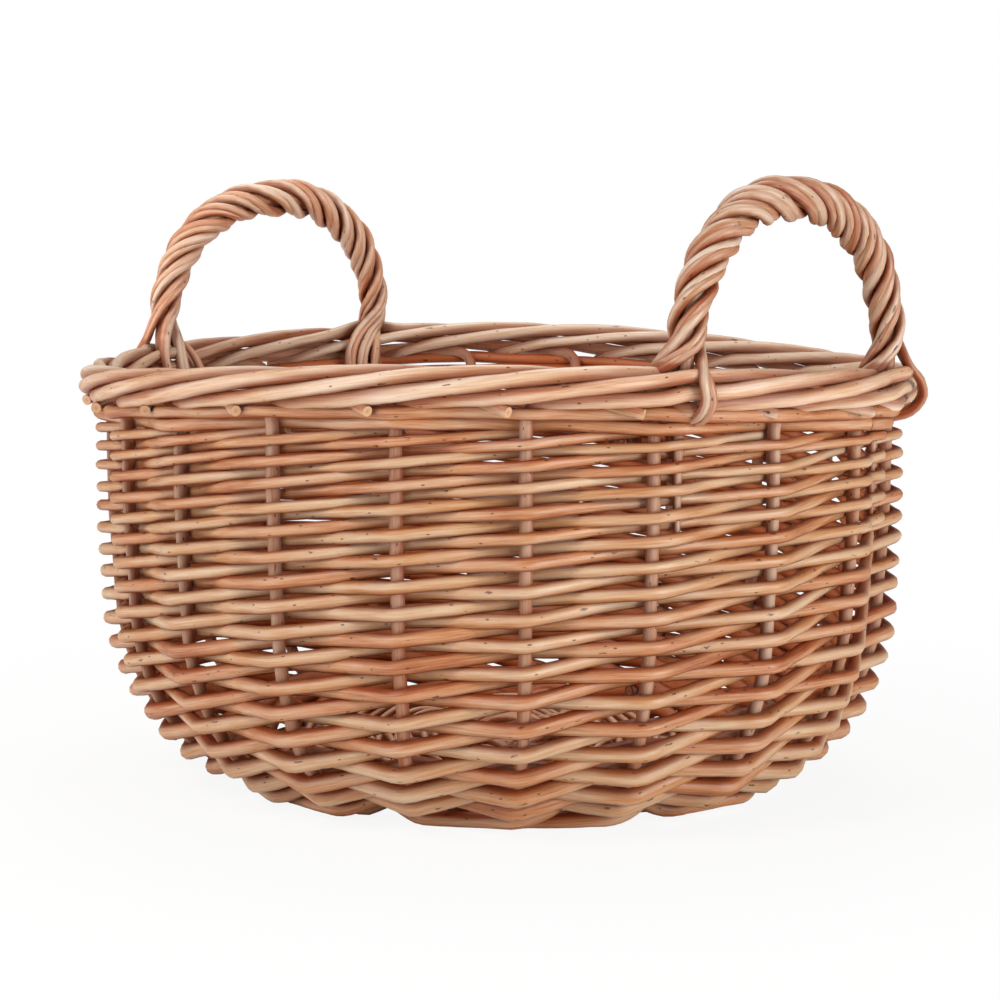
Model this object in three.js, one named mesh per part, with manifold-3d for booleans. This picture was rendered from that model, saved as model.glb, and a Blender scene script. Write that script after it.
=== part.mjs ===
// A small oval wicker basket of willow rods with two roped ear handles. Millimetres, Z up.
// X is the long axis, the handles stand at its two ends, and Z is 0 where the basket stands.

import * as THREE from 'three';
import { mergeVertices } from 'three/addons/utils/BufferGeometryUtils.js';
import Module from 'manifold-3d';

// Whole basket
const RIM_HALF_LENGTH = 190.5; // middle of the border, along X
const RIM_HALF_WIDTH = 173; // middle of the border, along Y
const RIM_HEIGHT = 186; // middle of the border above the ground
const RIM_DIP = 7; // how far the border dips at its lowest
const RIM_DIP_DIRECTION = 50; // degrees from the X axis, and opposite
const STAKE_COUNT = 20; // two beside each end of a base stick
const STAKE_PHASE = 0.895; // where the first stake stands, in stake spacings from the X axis
const GAP = 0.3; // left between neighbouring rods
const OWN_GAP_REACH = 6; // a rod's gap to itself counts this many thicknesses further along it

// Stakes
const STAKE_RADIUS = 2.9;
const STAKE_SIDES = 5;
const STAKE_INSET = 4; // stakes stand this far inside the middle of the border
const WALL_ROUNDNESS = 3; // power of the wall's outline: 2 is a plain ellipse
const WALL_FOOT_INSET = 92; // the wall starts to rise this far inside the border
const WALL_TOP_DROP = 20; // the wall is upright from this far under the border
const FAN_START_BEFORE_FOOT = 6; // stakes leave the base sticks this far inside the wall's foot
const FAN_END_PAST_FOOT = 22; // and stand at even spacings from this far outside it
const STAKE_IN_BASE = 16; // length of a stake beside its stick, inside the wall's foot
const STAKE_STRAIGHT_DROP = 17; // a stake runs straight up to this far under the middle of the border
const STAKE_BEND_DROP = 11.2; // then bends here
const STAKE_BEND_INSET = 2.6;
const STAKE_TURN_DROP = 8.2; // and here
const STAKE_TURN_INSET = 0.6;
const UPRIGHT_RINGS = 11;
const BEND_WEIGHT = 120; // rings stand closer where a stake bends: millimetres for each radian

// Border: each stake's own end, laid round with four others
const BORDER_ROD_RADIUS = 2.8;
const BORDER_ROPE_RADIUS = 5.6; // middle of a rod to the middle of the border
const BORDER_SPAN = 4.7; // stake spacings that an end runs for
const BORDER_RODS = 5; // rods round the border at any place
const BORDER_START_ANGLE = -75; // degrees from straight outwards, where a stake joins the border
const BORDER_STEPS = 3; // rings for each stake spacing
const BORDER_TIP_RADIUS = 2.4;
const PARTING_REACH = 0.2; // stake spacings before and after a handle's leg where they start to part
const PARTING_SLACK = 1.4; // extra room between them there
const PARTING_ROUNDS = 60; // how often they are eased apart there

// Siding: one rod for each stake, in front of one stake and behind the next
const SIDING_SIDES = 4;
const SIDING_COURSES = 32; // stake spacings that a rod passes; they fill the wall between the wales
const SIDING_TAPER = 0.67; // tip thickness as a share of butt thickness
const SIDING_CROWDING = 0.08; // share of the pitch lost at the foot of the wall
const SIDING_CROWDED_COURSES = 12;
const SIDING_END = 0.14; // overhang past the first and last stake, in stake spacings

// Wales
const UPSETT_RADIUS = 3.1;
const UPSETT_SIDES = 5;
const UPSETT_CLIMB = 22; // place on the wall's outline, from its foot
const UPSETT_TWIST = 3.9; // half distance of the two rods where they cross
const TOP_WALE_RADIUS = 1.9;
const TUCK_ROOM = 4.9; // left under the border for the handle rods

// Base
const BASE_HEIGHT = 8.9; // middle of the stakes where they leave the base
const BASE_DOME = 5; // rise of the base in its middle
const STICK_RADIUS = 3;
const STICK_SIDES = 6;
const STICK_END_PAST_FOOT = 12;
const SLIT_STICK_HEIGHT = 5.4; // half height of a slit stick where it is opened
const SLIT_LENGTH = 13.2;
const CROSSING_ROOM = 2; // sticks stay straight this far past the crossing
const BASE_WEAVER_RADIUS = 1.9;
const STICK_OPENING_RADIUS = 33; // sticks lie bundled inside this radius, and open out from it
const BASE_WEAVE_START = 36;
const BASE_WEAVE_PITCH = 4.35; // from one track to the next
const BASE_WEAVE_PAST_FOOT = 11.5; // the weave ends this far outside the wall's foot
const GROUP_ROOM = 1.2; // left beside a stick and its two stakes where a weaver bends round them
const GROUP_LIFT = 1.15; // extra height of a weaver over such a group

// Handles
const RIGHT_HANDLE_LEGS = [[18, 9.1], [0, 21.4]]; // for each leg a stake, and how far past it
const LEFT_HANDLE_LEGS = [[8, -6.6], [10, 11.5]];
const RIGHT_HANDLE_LEAN = 0; // how far the bow's top leans outwards
const LEFT_HANDLE_LEAN = -6;
const HANDLE_ROUNDNESS = 2.5; // power of the bow's outline: 2 is a plain half ellipse
const HANDLE_HEIGHT = 78; // middle of the bow above the middle of the border
const HANDLE_LEG = 10; // straight part of the leg above the middle of the border
const BOW_RADIUS = 4.2;
const BOW_LEG_RADIUS = 3.2; // where it is shaved to enter the border
const LEG_INSET = 1.5; // the leg passes this far inside the middle of the border
const LEG_SETTLE_DROP = 12; // and stands in line with the stakes from here down
const BOW_TIP_RADIUS = 1.2;
const BOW_TIP_DROP = 60; // how far the pointed ends reach under the middle of the border
const LEG_TIP_ROOM = 4; // siding runs past the legs as past stakes, down to this far under their tips
const WRAP_RODS = 4; // flat bundles of two thin rods each
const WRAP_HALF_WIDTH = 3.7;
const WRAP_HALF_THICKNESS = 2.1;
const WRAP_TURNS = 3.5;
const WRAP_STEPS = 9; // rings for each turn
const WRAP_LEAVE = 21; // height above the middle of the border where the bundles part

const wasm = await Module();
wasm.setup();

const up = new THREE.Vector3(0, 0, 1);
const basket = new THREE.Group();

function material(colour, roughness) {
  return new THREE.MeshStandardMaterial({ color: colour, roughness, metalness: 0 });
}

// The border is not level: it dips on one diagonal, and all under it goes down in proportion
function dip(geometry) {
  const place = geometry.attributes.position;
  for (let i = 0; i < place.count; i += 1) {
    const angle = Math.atan2(place.getY(i), place.getX(i)) - THREE.MathUtils.degToRad(RIM_DIP_DIRECTION);
    const share = (1 + Math.cos(2 * angle)) / 2;
    const height = Math.min(place.getZ(i), RIM_HEIGHT);
    place.setZ(i, place.getZ(i) - (RIM_DIP * share * height) / RIM_HEIGHT);
  }
}

function addPiece(name, geometry, colour, roughness = 0.62) {
  dip(geometry);
  const mesh = new THREE.Mesh(geometry, material(colour, roughness));
  mesh.name = name;
  basket.add(mesh);
  return mesh;
}

function mix(a, b, share) {
  return a + (b - a) * share;
}

function ease(value) {
  const share = THREE.MathUtils.clamp(value, 0, 1);
  return share * share * (3 - 2 * share);
}

// A rod: rings of flat-sided section along a path. Each stop has its place, the direction of its
// thickness, and its half thickness and half width.
function rodGeometry(stops, sides) {
  const positions = [];
  const index = [];
  stops.forEach((stop, i) => {
    const into = new THREE.Vector3();
    const onward = new THREE.Vector3();
    if (i > 0) into.subVectors(stop.at, stops[i - 1].at).normalize();
    if (i < stops.length - 1) onward.subVectors(stops[i + 1].at, stop.at).normalize();
    const along = into.add(onward).normalize();
    const out = stop.out.clone().addScaledVector(along, -stop.out.dot(along)).normalize();
    const side = new THREE.Vector3().crossVectors(along, out);
    for (let k = 0; k < sides; k += 1) {
      const angle = (2 * Math.PI * k) / sides;
      const point = stop.at.clone();
      point.addScaledVector(out, stop.thick * Math.cos(angle));
      point.addScaledVector(side, stop.wide * Math.sin(angle));
      positions.push(point.x, point.y, point.z);
    }
  });
  for (let i = 0; i < stops.length - 1; i += 1) {
    for (let k = 0; k < sides; k += 1) {
      const a = i * sides + k;
      const b = i * sides + ((k + 1) % sides);
      index.push(a, b, b + sides, a, b + sides, a + sides);
    }
  }
  const last = (stops.length - 1) * sides;
  for (let k = 1; k < sides - 1; k += 1) {
    index.push(0, k + 1, k);
    index.push(last, last + k, last + k + 1);
  }
  const geometry = new THREE.BufferGeometry();
  geometry.setAttribute('position', new THREE.Float32BufferAttribute(positions, 3));
  geometry.setIndex(index);
  return geometry;
}

function toSolid(geometry) {
  const bare = geometry.clone();
  bare.deleteAttribute('normal');
  bare.deleteAttribute('uv');
  const merged = mergeVertices(bare, 1e-4);
  return new wasm.Manifold(new wasm.Mesh({
    numProp: 3,
    vertProperties: new Float32Array(merged.attributes.position.array),
    triVerts: new Uint32Array(merged.index.array),
  }));
}

function toGeometry(solid) {
  const mesh = solid.getMesh();
  const geometry = new THREE.BufferGeometry();
  geometry.setAttribute('position', new THREE.BufferAttribute(mesh.vertProperties, 3));
  geometry.setIndex(new THREE.BufferAttribute(mesh.triVerts, 1));
  return geometry;
}

function cutAway(geometry, ...cutters) {
  let solid = toSolid(geometry);
  for (const cutter of cutters) solid = solid.subtract(toSolid(cutter));
  return toGeometry(solid);
}

// The rim is an ellipse walked in stake spacings, counter-clockwise from +X
const RIM_SAMPLES = 1440;
const rimLengths = [0];
for (let i = 1; i <= RIM_SAMPLES; i += 1) {
  const before = (2 * Math.PI * (i - 1)) / RIM_SAMPLES;
  const after = (2 * Math.PI * i) / RIM_SAMPLES;
  const dx = RIM_HALF_LENGTH * (Math.cos(after) - Math.cos(before));
  const dy = RIM_HALF_WIDTH * (Math.sin(after) - Math.sin(before));
  rimLengths.push(rimLengths[i - 1] + Math.hypot(dx, dy));
}
const SPACING = rimLengths[RIM_SAMPLES] / STAKE_COUNT;

function rimAngle(station) {
  const turns = Math.floor(station / STAKE_COUNT);
  const length = (station - turns * STAKE_COUNT) * SPACING;
  let low = 0;
  let high = RIM_SAMPLES;
  while (high - low > 1) {
    const middle = (low + high) >> 1;
    if (rimLengths[middle] <= length) low = middle;
    else high = middle;
  }
  const share = (length - rimLengths[low]) / (rimLengths[high] - rimLengths[low]);
  return (2 * Math.PI * (low + share)) / RIM_SAMPLES;
}

function rimAt(station) {
  const angle = rimAngle(station);
  const at = new THREE.Vector3(RIM_HALF_LENGTH * Math.cos(angle), RIM_HALF_WIDTH * Math.sin(angle), 0);
  const out = new THREE.Vector3(Math.cos(angle) / RIM_HALF_LENGTH, Math.sin(angle) / RIM_HALF_WIDTH, 0);
  return { at, out: out.normalize() };
}

// The wall's outline, as inset from the border and height, walked by its length
const WALL_TOP = RIM_HEIGHT - WALL_TOP_DROP;
const WALL_SAMPLES = 300;
const outline = [];
for (let i = 0; i <= WALL_SAMPLES; i += 1) {
  const angle = (Math.PI / 2) * (i / WALL_SAMPLES);
  const reach = Math.sin(angle) ** (2 / WALL_ROUNDNESS);
  const drop = Math.cos(angle) ** (2 / WALL_ROUNDNESS);
  const inset = mix(WALL_FOOT_INSET, STAKE_INSET, reach);
  const height = WALL_TOP - (WALL_TOP - BASE_HEIGHT) * drop;
  const before = outline[i - 1];
  const length = before ? before.length + Math.hypot(inset - before.inset, height - before.height) : 0;
  outline.push({ inset, height, length });
}
const WALL_LENGTH = outline[WALL_SAMPLES].length;

function baseHeight(inset) {
  const radius = MEAN_RADIUS - inset;
  return BASE_HEIGHT + BASE_DOME * Math.max(0, 1 - (radius / FOOT_RADIUS) ** 2);
}

function outlineAt(climb) {
  if (climb <= 0) {
    const inset = WALL_FOOT_INSET - climb;
    return { inset, height: baseHeight(inset), run: 1, rise: 0 };
  }
  if (climb >= WALL_LENGTH) {
    return { inset: STAKE_INSET, height: WALL_TOP + climb - WALL_LENGTH, run: 0, rise: 1 };
  }
  let low = 0;
  while (outline[low + 1].length < climb) low += 1;
  const a = outline[low];
  const b = outline[low + 1];
  const share = (climb - a.length) / (b.length - a.length);
  const step = b.length - a.length;
  return {
    inset: mix(a.inset, b.inset, share),
    height: mix(a.height, b.height, share),
    run: (a.inset - b.inset) / step,
    rise: (b.height - a.height) / step,
  };
}

// Everything under the border keeps the border's oval: places are shares of the way out to it
const MEAN_RADIUS = (RIM_HALF_LENGTH + RIM_HALF_WIDTH) / 2;
const FOOT_RADIUS = MEAN_RADIUS - WALL_FOOT_INSET;

function onStick(stick, radius) {
  return rimAt(2 * stick + 0.5 + STAKE_PHASE).at.multiplyScalar(radius / MEAN_RADIUS);
}

// Heights for a stake's rings: even steps of length and bend together
function ringClimbs(first, last, count) {
  const samples = [];
  let weight = 0;
  for (let i = 0; i <= WALL_SAMPLES; i += 1) {
    const climb = mix(first, last, i / WALL_SAMPLES);
    const { run, rise } = outlineAt(climb);
    const lean = Math.atan2(rise, run);
    const before = samples[i - 1];
    if (before) weight += climb - before.climb + BEND_WEIGHT * Math.abs(lean - before.lean);
    samples.push({ climb, lean, weight });
  }
  const climbs = [first];
  for (let k = 1; k < count; k += 1) {
    climbs.push(samples.find((sample) => sample.weight >= (weight * k) / count).climb);
  }
  return [...climbs, last];
}

function stickDirection(stick) {
  return onStick(stick, 1).normalize();
}

// Share of a stake's way from its stick to its even spacing
function fanned(inset) {
  const start = WALL_FOOT_INSET + FAN_START_BEFORE_FOOT;
  return ease((start - inset) / (FAN_START_BEFORE_FOOT + FAN_END_PAST_FOOT));
}

// A place on a stake, with the wall's outward direction there. Stakes lie beside their stick in
// the base and fan out to even spacings as they rise.
function stakeAt(stake, climb) {
  const { inset, height, run, rise } = outlineAt(climb);
  const rim = rimAt(stake + STAKE_PHASE);
  const wall = rim.at.clone().multiplyScalar(1 - inset / MEAN_RADIUS);
  const stick = Math.floor(stake / 2);
  const direction = stickDirection(stick);
  const across = new THREE.Vector3().crossVectors(up, direction);
  const hand = stake - 2 * stick === 0 ? -1 : 1;
  const beside = onStick(stick, MEAN_RADIUS - inset);
  beside.addScaledVector(across, hand * (STICK_RADIUS + GAP + STAKE_RADIUS));
  const share = fanned(inset);
  const at = beside.lerp(wall, share).setZ(height);
  const flat = direction.lerp(rim.out, share).normalize();
  const out = flat.clone().multiplyScalar(rise).addScaledVector(up, -run);
  return { at, out, flat };
}

// Legs of the handles: four places on the rim, each beside a stake
function legAt([stake, past]) {
  const station = stake + STAKE_PHASE + past / SPACING;
  return { station, ...rimAt(station) };
}
const handles = [
  { label: 'right', end: 1, lean: RIGHT_HANDLE_LEAN, legs: RIGHT_HANDLE_LEGS.map(legAt) },
  { label: 'left', end: -1, lean: LEFT_HANDLE_LEAN, legs: LEFT_HANDLE_LEGS.map(legAt) },
];
const legs = handles.flatMap((handle) => handle.legs);

// The leg's middle, as distance outwards from the middle of the border, at a height above it
function legOut(height) {
  if (height > 0) return mix(-LEG_INSET, 0, Math.min(1, height / HANDLE_LEG));
  return mix(-LEG_INSET, -STAKE_INSET, Math.min(1, -height / LEG_SETTLE_DROP));
}

function legRadius(height) {
  if (height > HANDLE_LEG) return BOW_RADIUS;
  if (height > 0) return mix(BOW_LEG_RADIUS, BOW_RADIUS, height / HANDLE_LEG);
  return mix(BOW_LEG_RADIUS, BOW_TIP_RADIUS, -height / BOW_TIP_DROP);
}

function onRim(station, outwards, height) {
  const rim = rimAt(station);
  return rim.at.clone().addScaledVector(rim.out, outwards).setZ(RIM_HEIGHT + height);
}

// Border rods first as an even rope, then eased apart round the legs
function borderStart(stake) {
  return stake + STAKE_PHASE;
}

function ropePlace(progress) {
  const angle = THREE.MathUtils.degToRad(BORDER_START_ANGLE + (360 / BORDER_RODS) * progress);
  return { outwards: BORDER_ROPE_RADIUS * Math.cos(angle), height: BORDER_ROPE_RADIUS * Math.sin(angle) };
}

function borderRadius(progress) {
  return mix(BORDER_ROD_RADIUS, BORDER_TIP_RADIUS, progress / BORDER_SPAN);
}

function stationGap(a, b) {
  const difference = (((a - b) % STAKE_COUNT) + STAKE_COUNT) % STAKE_COUNT;
  return difference > STAKE_COUNT / 2 ? difference - STAKE_COUNT : difference;
}

function nearAny(places, station) {
  return places.some((place) => Math.abs(stationGap(place, station)) < 0.1);
}

// Places round the rim where every rod of the border has a ring
function borderStations() {
  const atStakes = [];
  const evenly = [];
  for (let stake = 0; stake < STAKE_COUNT; stake += 1) {
    atStakes.push(borderStart(stake));
    for (let k = 1; k < BORDER_STEPS; k += 1) evenly.push(borderStart(stake) + k / BORDER_STEPS);
  }
  const atLegs = legs.map((leg) => leg.station);
  const besideLegs = legs.flatMap((leg) => [leg.station - PARTING_REACH, leg.station + PARTING_REACH]);
  const kept = [...atStakes, ...atLegs];
  kept.push(...besideLegs.filter((station) => !nearAny(atStakes, station)));
  kept.push(...evenly.filter((station) => !nearAny(kept, station)));
  return kept;
}

function pushFromLeg(rod, leg, along) {
  const reach = PARTING_REACH * SPACING;
  const room = legRadius(rod.height) + borderRadius(rod.progress) + GAP;
  const widest = room / Math.sqrt(1 - (room / reach) ** 2);
  const wanted = widest * (1 - Math.abs(along) / reach);
  const middle = legOut(rod.height);
  if (rod.side * (rod.outwards - middle) < wanted) rod.outwards = middle + rod.side * wanted;
}

function pushApart(a, b, slack) {
  const dx = b.outwards - a.outwards;
  const dz = b.height - a.height;
  const distance = Math.hypot(dx, dz);
  const room = borderRadius(a.progress) + borderRadius(b.progress) + GAP + slack;
  if (distance >= room) return;
  const half = (room - distance) / 2 / distance;
  a.outwards -= dx * half;
  a.height -= dz * half;
  b.outwards += dx * half;
  b.height += dz * half;
}

// The rods of the border at one place: an even rope, eased apart where a leg passes through
function borderAt(station) {
  const rods = [];
  const leg = legs.find((one) => Math.abs(stationGap(station, one.station)) < PARTING_REACH);
  const toLeg = leg ? stationGap(leg.station, station) : 0;
  for (let stake = 0; stake < STAKE_COUNT; stake += 1) {
    const progress = stationGap(station, borderStart(stake));
    if (progress < 0.1 || progress > BORDER_SPAN) continue;
    const side = ropePlace(progress + toLeg).outwards > legOut(0) ? 1 : -1;
    rods.push({ stake, progress, side, ...ropePlace(progress) });
  }
  for (let round = 0; round < PARTING_ROUNDS; round += 1) {
    for (const rod of rods) {
      const even = ropePlace(rod.progress);
      const pull = 0.1 * (1 - round / PARTING_ROUNDS);
      rod.outwards = mix(rod.outwards, even.outwards, pull);
      rod.height = mix(rod.height, even.height, pull);
      if (leg) pushFromLeg(rod, leg, toLeg * SPACING);
    }
    rods.forEach((a, i) => rods.slice(i + 1).forEach((b) => pushApart(a, b, leg ? PARTING_SLACK : 0)));
  }
  if (leg) rods.forEach((rod) => pushFromLeg(rod, leg, toLeg * SPACING));
  return rods;
}

const border = Array.from({ length: STAKE_COUNT }, () => []);
for (const station of borderStations()) {
  for (const rod of borderAt(station)) border[rod.stake].push({ station, ...rod });
}
border.forEach((stops) => stops.sort((a, b) => a.progress - b.progress));

// Stakes with their border ends
const willow = ['#c9986c', '#d2a178', '#c08a5a', '#dcb18a', '#b98255'];

function stakeStops(stake) {
  const stops = [];
  const lift = RIM_HEIGHT - WALL_TOP + WALL_LENGTH;
  const first = -STAKE_IN_BASE;
  const last = lift - STAKE_STRAIGHT_DROP;
  for (const climb of ringClimbs(first, last, UPRIGHT_RINGS)) {
    const { at, out } = stakeAt(stake, climb);
    stops.push({ at, out, thick: STAKE_RADIUS, wide: STAKE_RADIUS });
  }
  const bend = [
    [0, -STAKE_BEND_INSET, -STAKE_BEND_DROP],
    [0.05, -STAKE_TURN_INSET, -STAKE_TURN_DROP],
  ];
  for (const [along, outwards, height] of bend) {
    stops.push({
      at: onRim(borderStart(stake) + along, outwards, height),
      out: rimAt(borderStart(stake)).out,
      thick: BORDER_ROD_RADIUS,
      wide: BORDER_ROD_RADIUS,
    });
  }
  for (const { station, progress, outwards, height } of border[stake]) {
    const radius = borderRadius(progress);
    const at = onRim(station, outwards, height);
    stops.push({ at, out: rimAt(station).out, thick: radius, wide: radius });
  }
  return stops;
}

for (let stake = 0; stake < STAKE_COUNT; stake += 1) {
  const label = String(stake + 1).padStart(2, '0');
  addPiece(`stake_${label}`, rodGeometry(stakeStops(stake), STAKE_SIDES), willow[stake % willow.length]);
}

// The rods between stakes: a place part of the way from one stake to the next
function between(stake, share, climb) {
  const a = stakeAt(stake, climb);
  if (share === 0) return a;
  const b = stakeAt(stake + Math.sign(share), climb);
  const at = a.at.clone().lerp(b.at, Math.abs(share));
  const out = a.out.clone().lerp(b.out, Math.abs(share)).normalize();
  return { at, out };
}

// How far a rod's middle stands off a stake, so that its kinked run clears it
function seat(stake, climb, radius, side) {
  const reach = STAKE_RADIUS + radius + GAP;
  const run = stakeAt(stake, climb).at.distanceTo(stakeAt(stake + 1, climb).at);
  const kink = Math.abs(Math.atan((2 * reach) / run) + (side * Math.PI) / STAKE_COUNT);
  return reach / Math.cos(kink);
}

// Least gap from a wound rod to itself, measured on the points of its path
function printOwnGap(name, stops) {
  let least = Infinity;
  stops.forEach((a, i) => {
    let run = 0;
    for (let k = i + 1; k < stops.length; k += 1) {
      const b = stops[k];
      run += b.at.distanceTo(stops[k - 1].at);
      const room = a.thick + b.thick;
      if (run > OWN_GAP_REACH * room) least = Math.min(least, a.at.distanceTo(b.at) - room);
    }
  });
  console.log(`${name}: least gap to itself ${least.toFixed(2)} mm`);
}

// Siding
const TOP_WALE_HEIGHT = RIM_HEIGHT - BORDER_ROPE_RADIUS - BORDER_ROD_RADIUS - TUCK_ROOM - TOP_WALE_RADIUS;
const TOP_WALE_CLIMB = WALL_LENGTH + TOP_WALE_HEIGHT - WALL_TOP;
const SIDING_FLOOR = UPSETT_CLIMB + UPSETT_TWIST + UPSETT_RADIUS + GAP;
const SIDING_CEILING = TOP_WALE_CLIMB - TOP_WALE_RADIUS - GAP;
const SIDING_PITCH = (SIDING_CEILING - SIDING_FLOOR) / (SIDING_COURSES + 1);
const SIDING_SHRINK = (2 * (1 - SIDING_TAPER)) / (1 + SIDING_TAPER);

function sidingPitch(course) {
  return SIDING_PITCH * (1 + SIDING_SHRINK * (0.5 - course / SIDING_COURSES));
}

// Low courses are a little thinner than their pitch, for they crowd on the inner side of the bend
function sidingRadius(course) {
  const crowding = SIDING_CROWDING * Math.max(0, 1 - course / SIDING_CROWDED_COURSES);
  return (sidingPitch(course) * (1 - crowding) - GAP) / 2;
}

function sidingClimb(course) {
  const gained = course + 0.5 - (SIDING_SHRINK * (course * course)) / (2 * SIDING_COURSES);
  return SIDING_FLOOR + SIDING_PITCH * (gained + (SIDING_SHRINK * course) / 2 + SIDING_SHRINK / 4);
}

function sidingSide(course) {
  return course % 2 === 0 ? -1 : 1;
}

// A rod that meets a handle's leg between two stakes passes it as it passes the nearer stake
function legStops(stake, course) {
  const stops = [];
  for (const leg of legs) {
    const share = stationGap(leg.station, borderStart(stake));
    if (share <= 0 || share >= 1) continue;
    const place = course + share;
    const climb = mix(sidingClimb(course), sidingClimb(course + 1), share);
    const { at } = between(stake, share, climb);
    const height = at.z - RIM_HEIGHT;
    if (height < -BOW_TIP_DROP - LEG_TIP_ROOM) continue;
    const side = sidingSide(share < 0.5 ? course : course + 1);
    const radius = sidingRadius(place);
    const off = legOut(height) + (side * (legRadius(height) + radius + GAP)) / Math.cos(Math.PI / 10);
    const rim = rimAt(leg.station);
    stops.push({ at: onRim(leg.station, off, height), out: rim.out, thick: radius, wide: radius });
  }
  return stops;
}

function sidingStops(first) {
  const stops = [];
  for (let course = 0; course <= SIDING_COURSES; course += 1) {
    const stake = first + course;
    const climb = sidingClimb(course);
    const radius = sidingRadius(course);
    const side = sidingSide(course);
    const off = side * seat(stake, climb, radius, side);
    const { at, out } = stakeAt(stake, climb);
    stops.push({ at: at.addScaledVector(out, off), out, thick: radius, wide: radius });
    if (course < SIDING_COURSES) stops.push(...legStops(stake, course));
  }
  const overhang = (near, next) => {
    const at = near.at.clone().addScaledVector(next.at.clone().sub(near.at), -SIDING_END);
    return { ...near, at };
  };
  stops.unshift(overhang(stops[0], stops[1]));
  stops.push(overhang(stops[stops.length - 1], stops[stops.length - 2]));
  return stops;
}

for (let rod = 0; rod < STAKE_COUNT; rod += 1) {
  const label = String(rod + 1).padStart(2, '0');
  const colour = willow[(rod * 2 + 1) % willow.length];
  const stops = sidingStops(rod);
  printOwnGap(`siding_rod_${label}`, stops);
  addPiece(`siding_rod_${label}`, rodGeometry(stops, SIDING_SIDES), colour);
}

// Upsett: two rods that twist round each other, one in front of each stake and one behind
function upsettStops(rod) {
  const stops = [];
  const flat = 0.09;
  for (let stake = 0; stake < STAKE_COUNT; stake += 1) {
    const side = (stake + rod) % 2 === 0 ? 1 : -1;
    const off = side * seat(stake, UPSETT_CLIMB, UPSETT_RADIUS, side);
    for (const share of [-flat, flat]) {
      if (stake === 0 && share < 0) continue;
      const { at, out } = between(stake, share, UPSETT_CLIMB);
      stops.push({ at: at.addScaledVector(out, off), out, thick: UPSETT_RADIUS, wide: UPSETT_RADIUS });
    }
    if (stake === STAKE_COUNT - 1) continue;
    const { at, out } = between(stake, 0.5, UPSETT_CLIMB + side * UPSETT_TWIST);
    stops.push({ at, out, thick: UPSETT_RADIUS, wide: UPSETT_RADIUS });
  }
  return stops;
}

const ground = new THREE.BoxGeometry(4 * RIM_HALF_LENGTH, 4 * RIM_HALF_WIDTH, RIM_HEIGHT);
ground.translate(0, 0, -RIM_HEIGHT / 2);
for (let rod = 0; rod < 2; rod += 1) {
  const geometry = rodGeometry(upsettStops(rod), UPSETT_SIDES);
  addPiece(`upsett_rod_${rod + 1}`, cutAway(geometry, ground), willow[rod + 1]);
}

// Top wale: one thin rod under the border
function topWaleStops() {
  const stops = [];
  for (let stake = 0; stake < STAKE_COUNT; stake += 1) {
    const side = sidingSide(SIDING_COURSES + 1 + stake);
    const off = side * seat(stake, TOP_WALE_CLIMB, TOP_WALE_RADIUS, side);
    const { at, out } = stakeAt(stake, TOP_WALE_CLIMB);
    stops.push({ at: at.addScaledVector(out, off), out, thick: TOP_WALE_RADIUS, wide: TOP_WALE_RADIUS });
    for (const leg of legs) {
      const share = stationGap(leg.station, borderStart(stake));
      if (share <= 0 || share >= 1 || stake === STAKE_COUNT - 1) continue;
      const height = TOP_WALE_HEIGHT - RIM_HEIGHT;
      const near = share < 0.5 ? side : -side;
      const reach = near * (legRadius(height) + TOP_WALE_RADIUS + GAP);
      const place = onRim(leg.station, legOut(height) + reach / Math.cos(Math.PI / 10), height);
      const { out: legOutwards } = rimAt(leg.station);
      stops.push({ at: place, out: legOutwards, thick: TOP_WALE_RADIUS, wide: TOP_WALE_RADIUS });
    }
  }
  return stops;
}
addPiece('top_wale_rod', rodGeometry(topWaleStops(), SIDING_SIDES), willow[3]);

// Base sticks: three are slit in the middle and two pass through them, then all are opened out
const STICK_END = FOOT_RADIUS + STICK_END_PAST_FOOT;
const STICK_PITCH = 2 * STICK_RADIUS + GAP;
const cross = stickDirection(0);
const crossways = new THREE.Vector3().crossVectors(up, cross);

function baseAt(stick, radius) {
  return onStick(stick, radius).setZ(baseHeight(MEAN_RADIUS - radius));
}

function stickStops(endA, endB, axis, offset, offsetAxis, slit) {
  const stops = [];
  const reach = CROSSING_ROOM + (slit ? SLIT_LENGTH / 2 : STICK_PITCH * 1.5);
  const shares = [0, 0.25, 0.5, 0.75, 1];
  const radii = shares.map((share) => mix(STICK_END, STICK_OPENING_RADIUS, share));
  const push = (at, thick) => stops.push({ at, out: up, thick, wide: STICK_RADIUS });
  for (const radius of radii) push(baseAt(endA, radius), STICK_RADIUS);
  const middle = offsetAxis.clone().multiplyScalar(offset).setZ(baseHeight(MEAN_RADIUS));
  const open = slit ? SLIT_STICK_HEIGHT : STICK_RADIUS;
  push(middle.clone().addScaledVector(axis, reach), open);
  push(middle.clone().addScaledVector(axis, -reach), open);
  for (const radius of radii.reverse()) push(baseAt(endB, radius), STICK_RADIUS);
  return stops;
}

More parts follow.
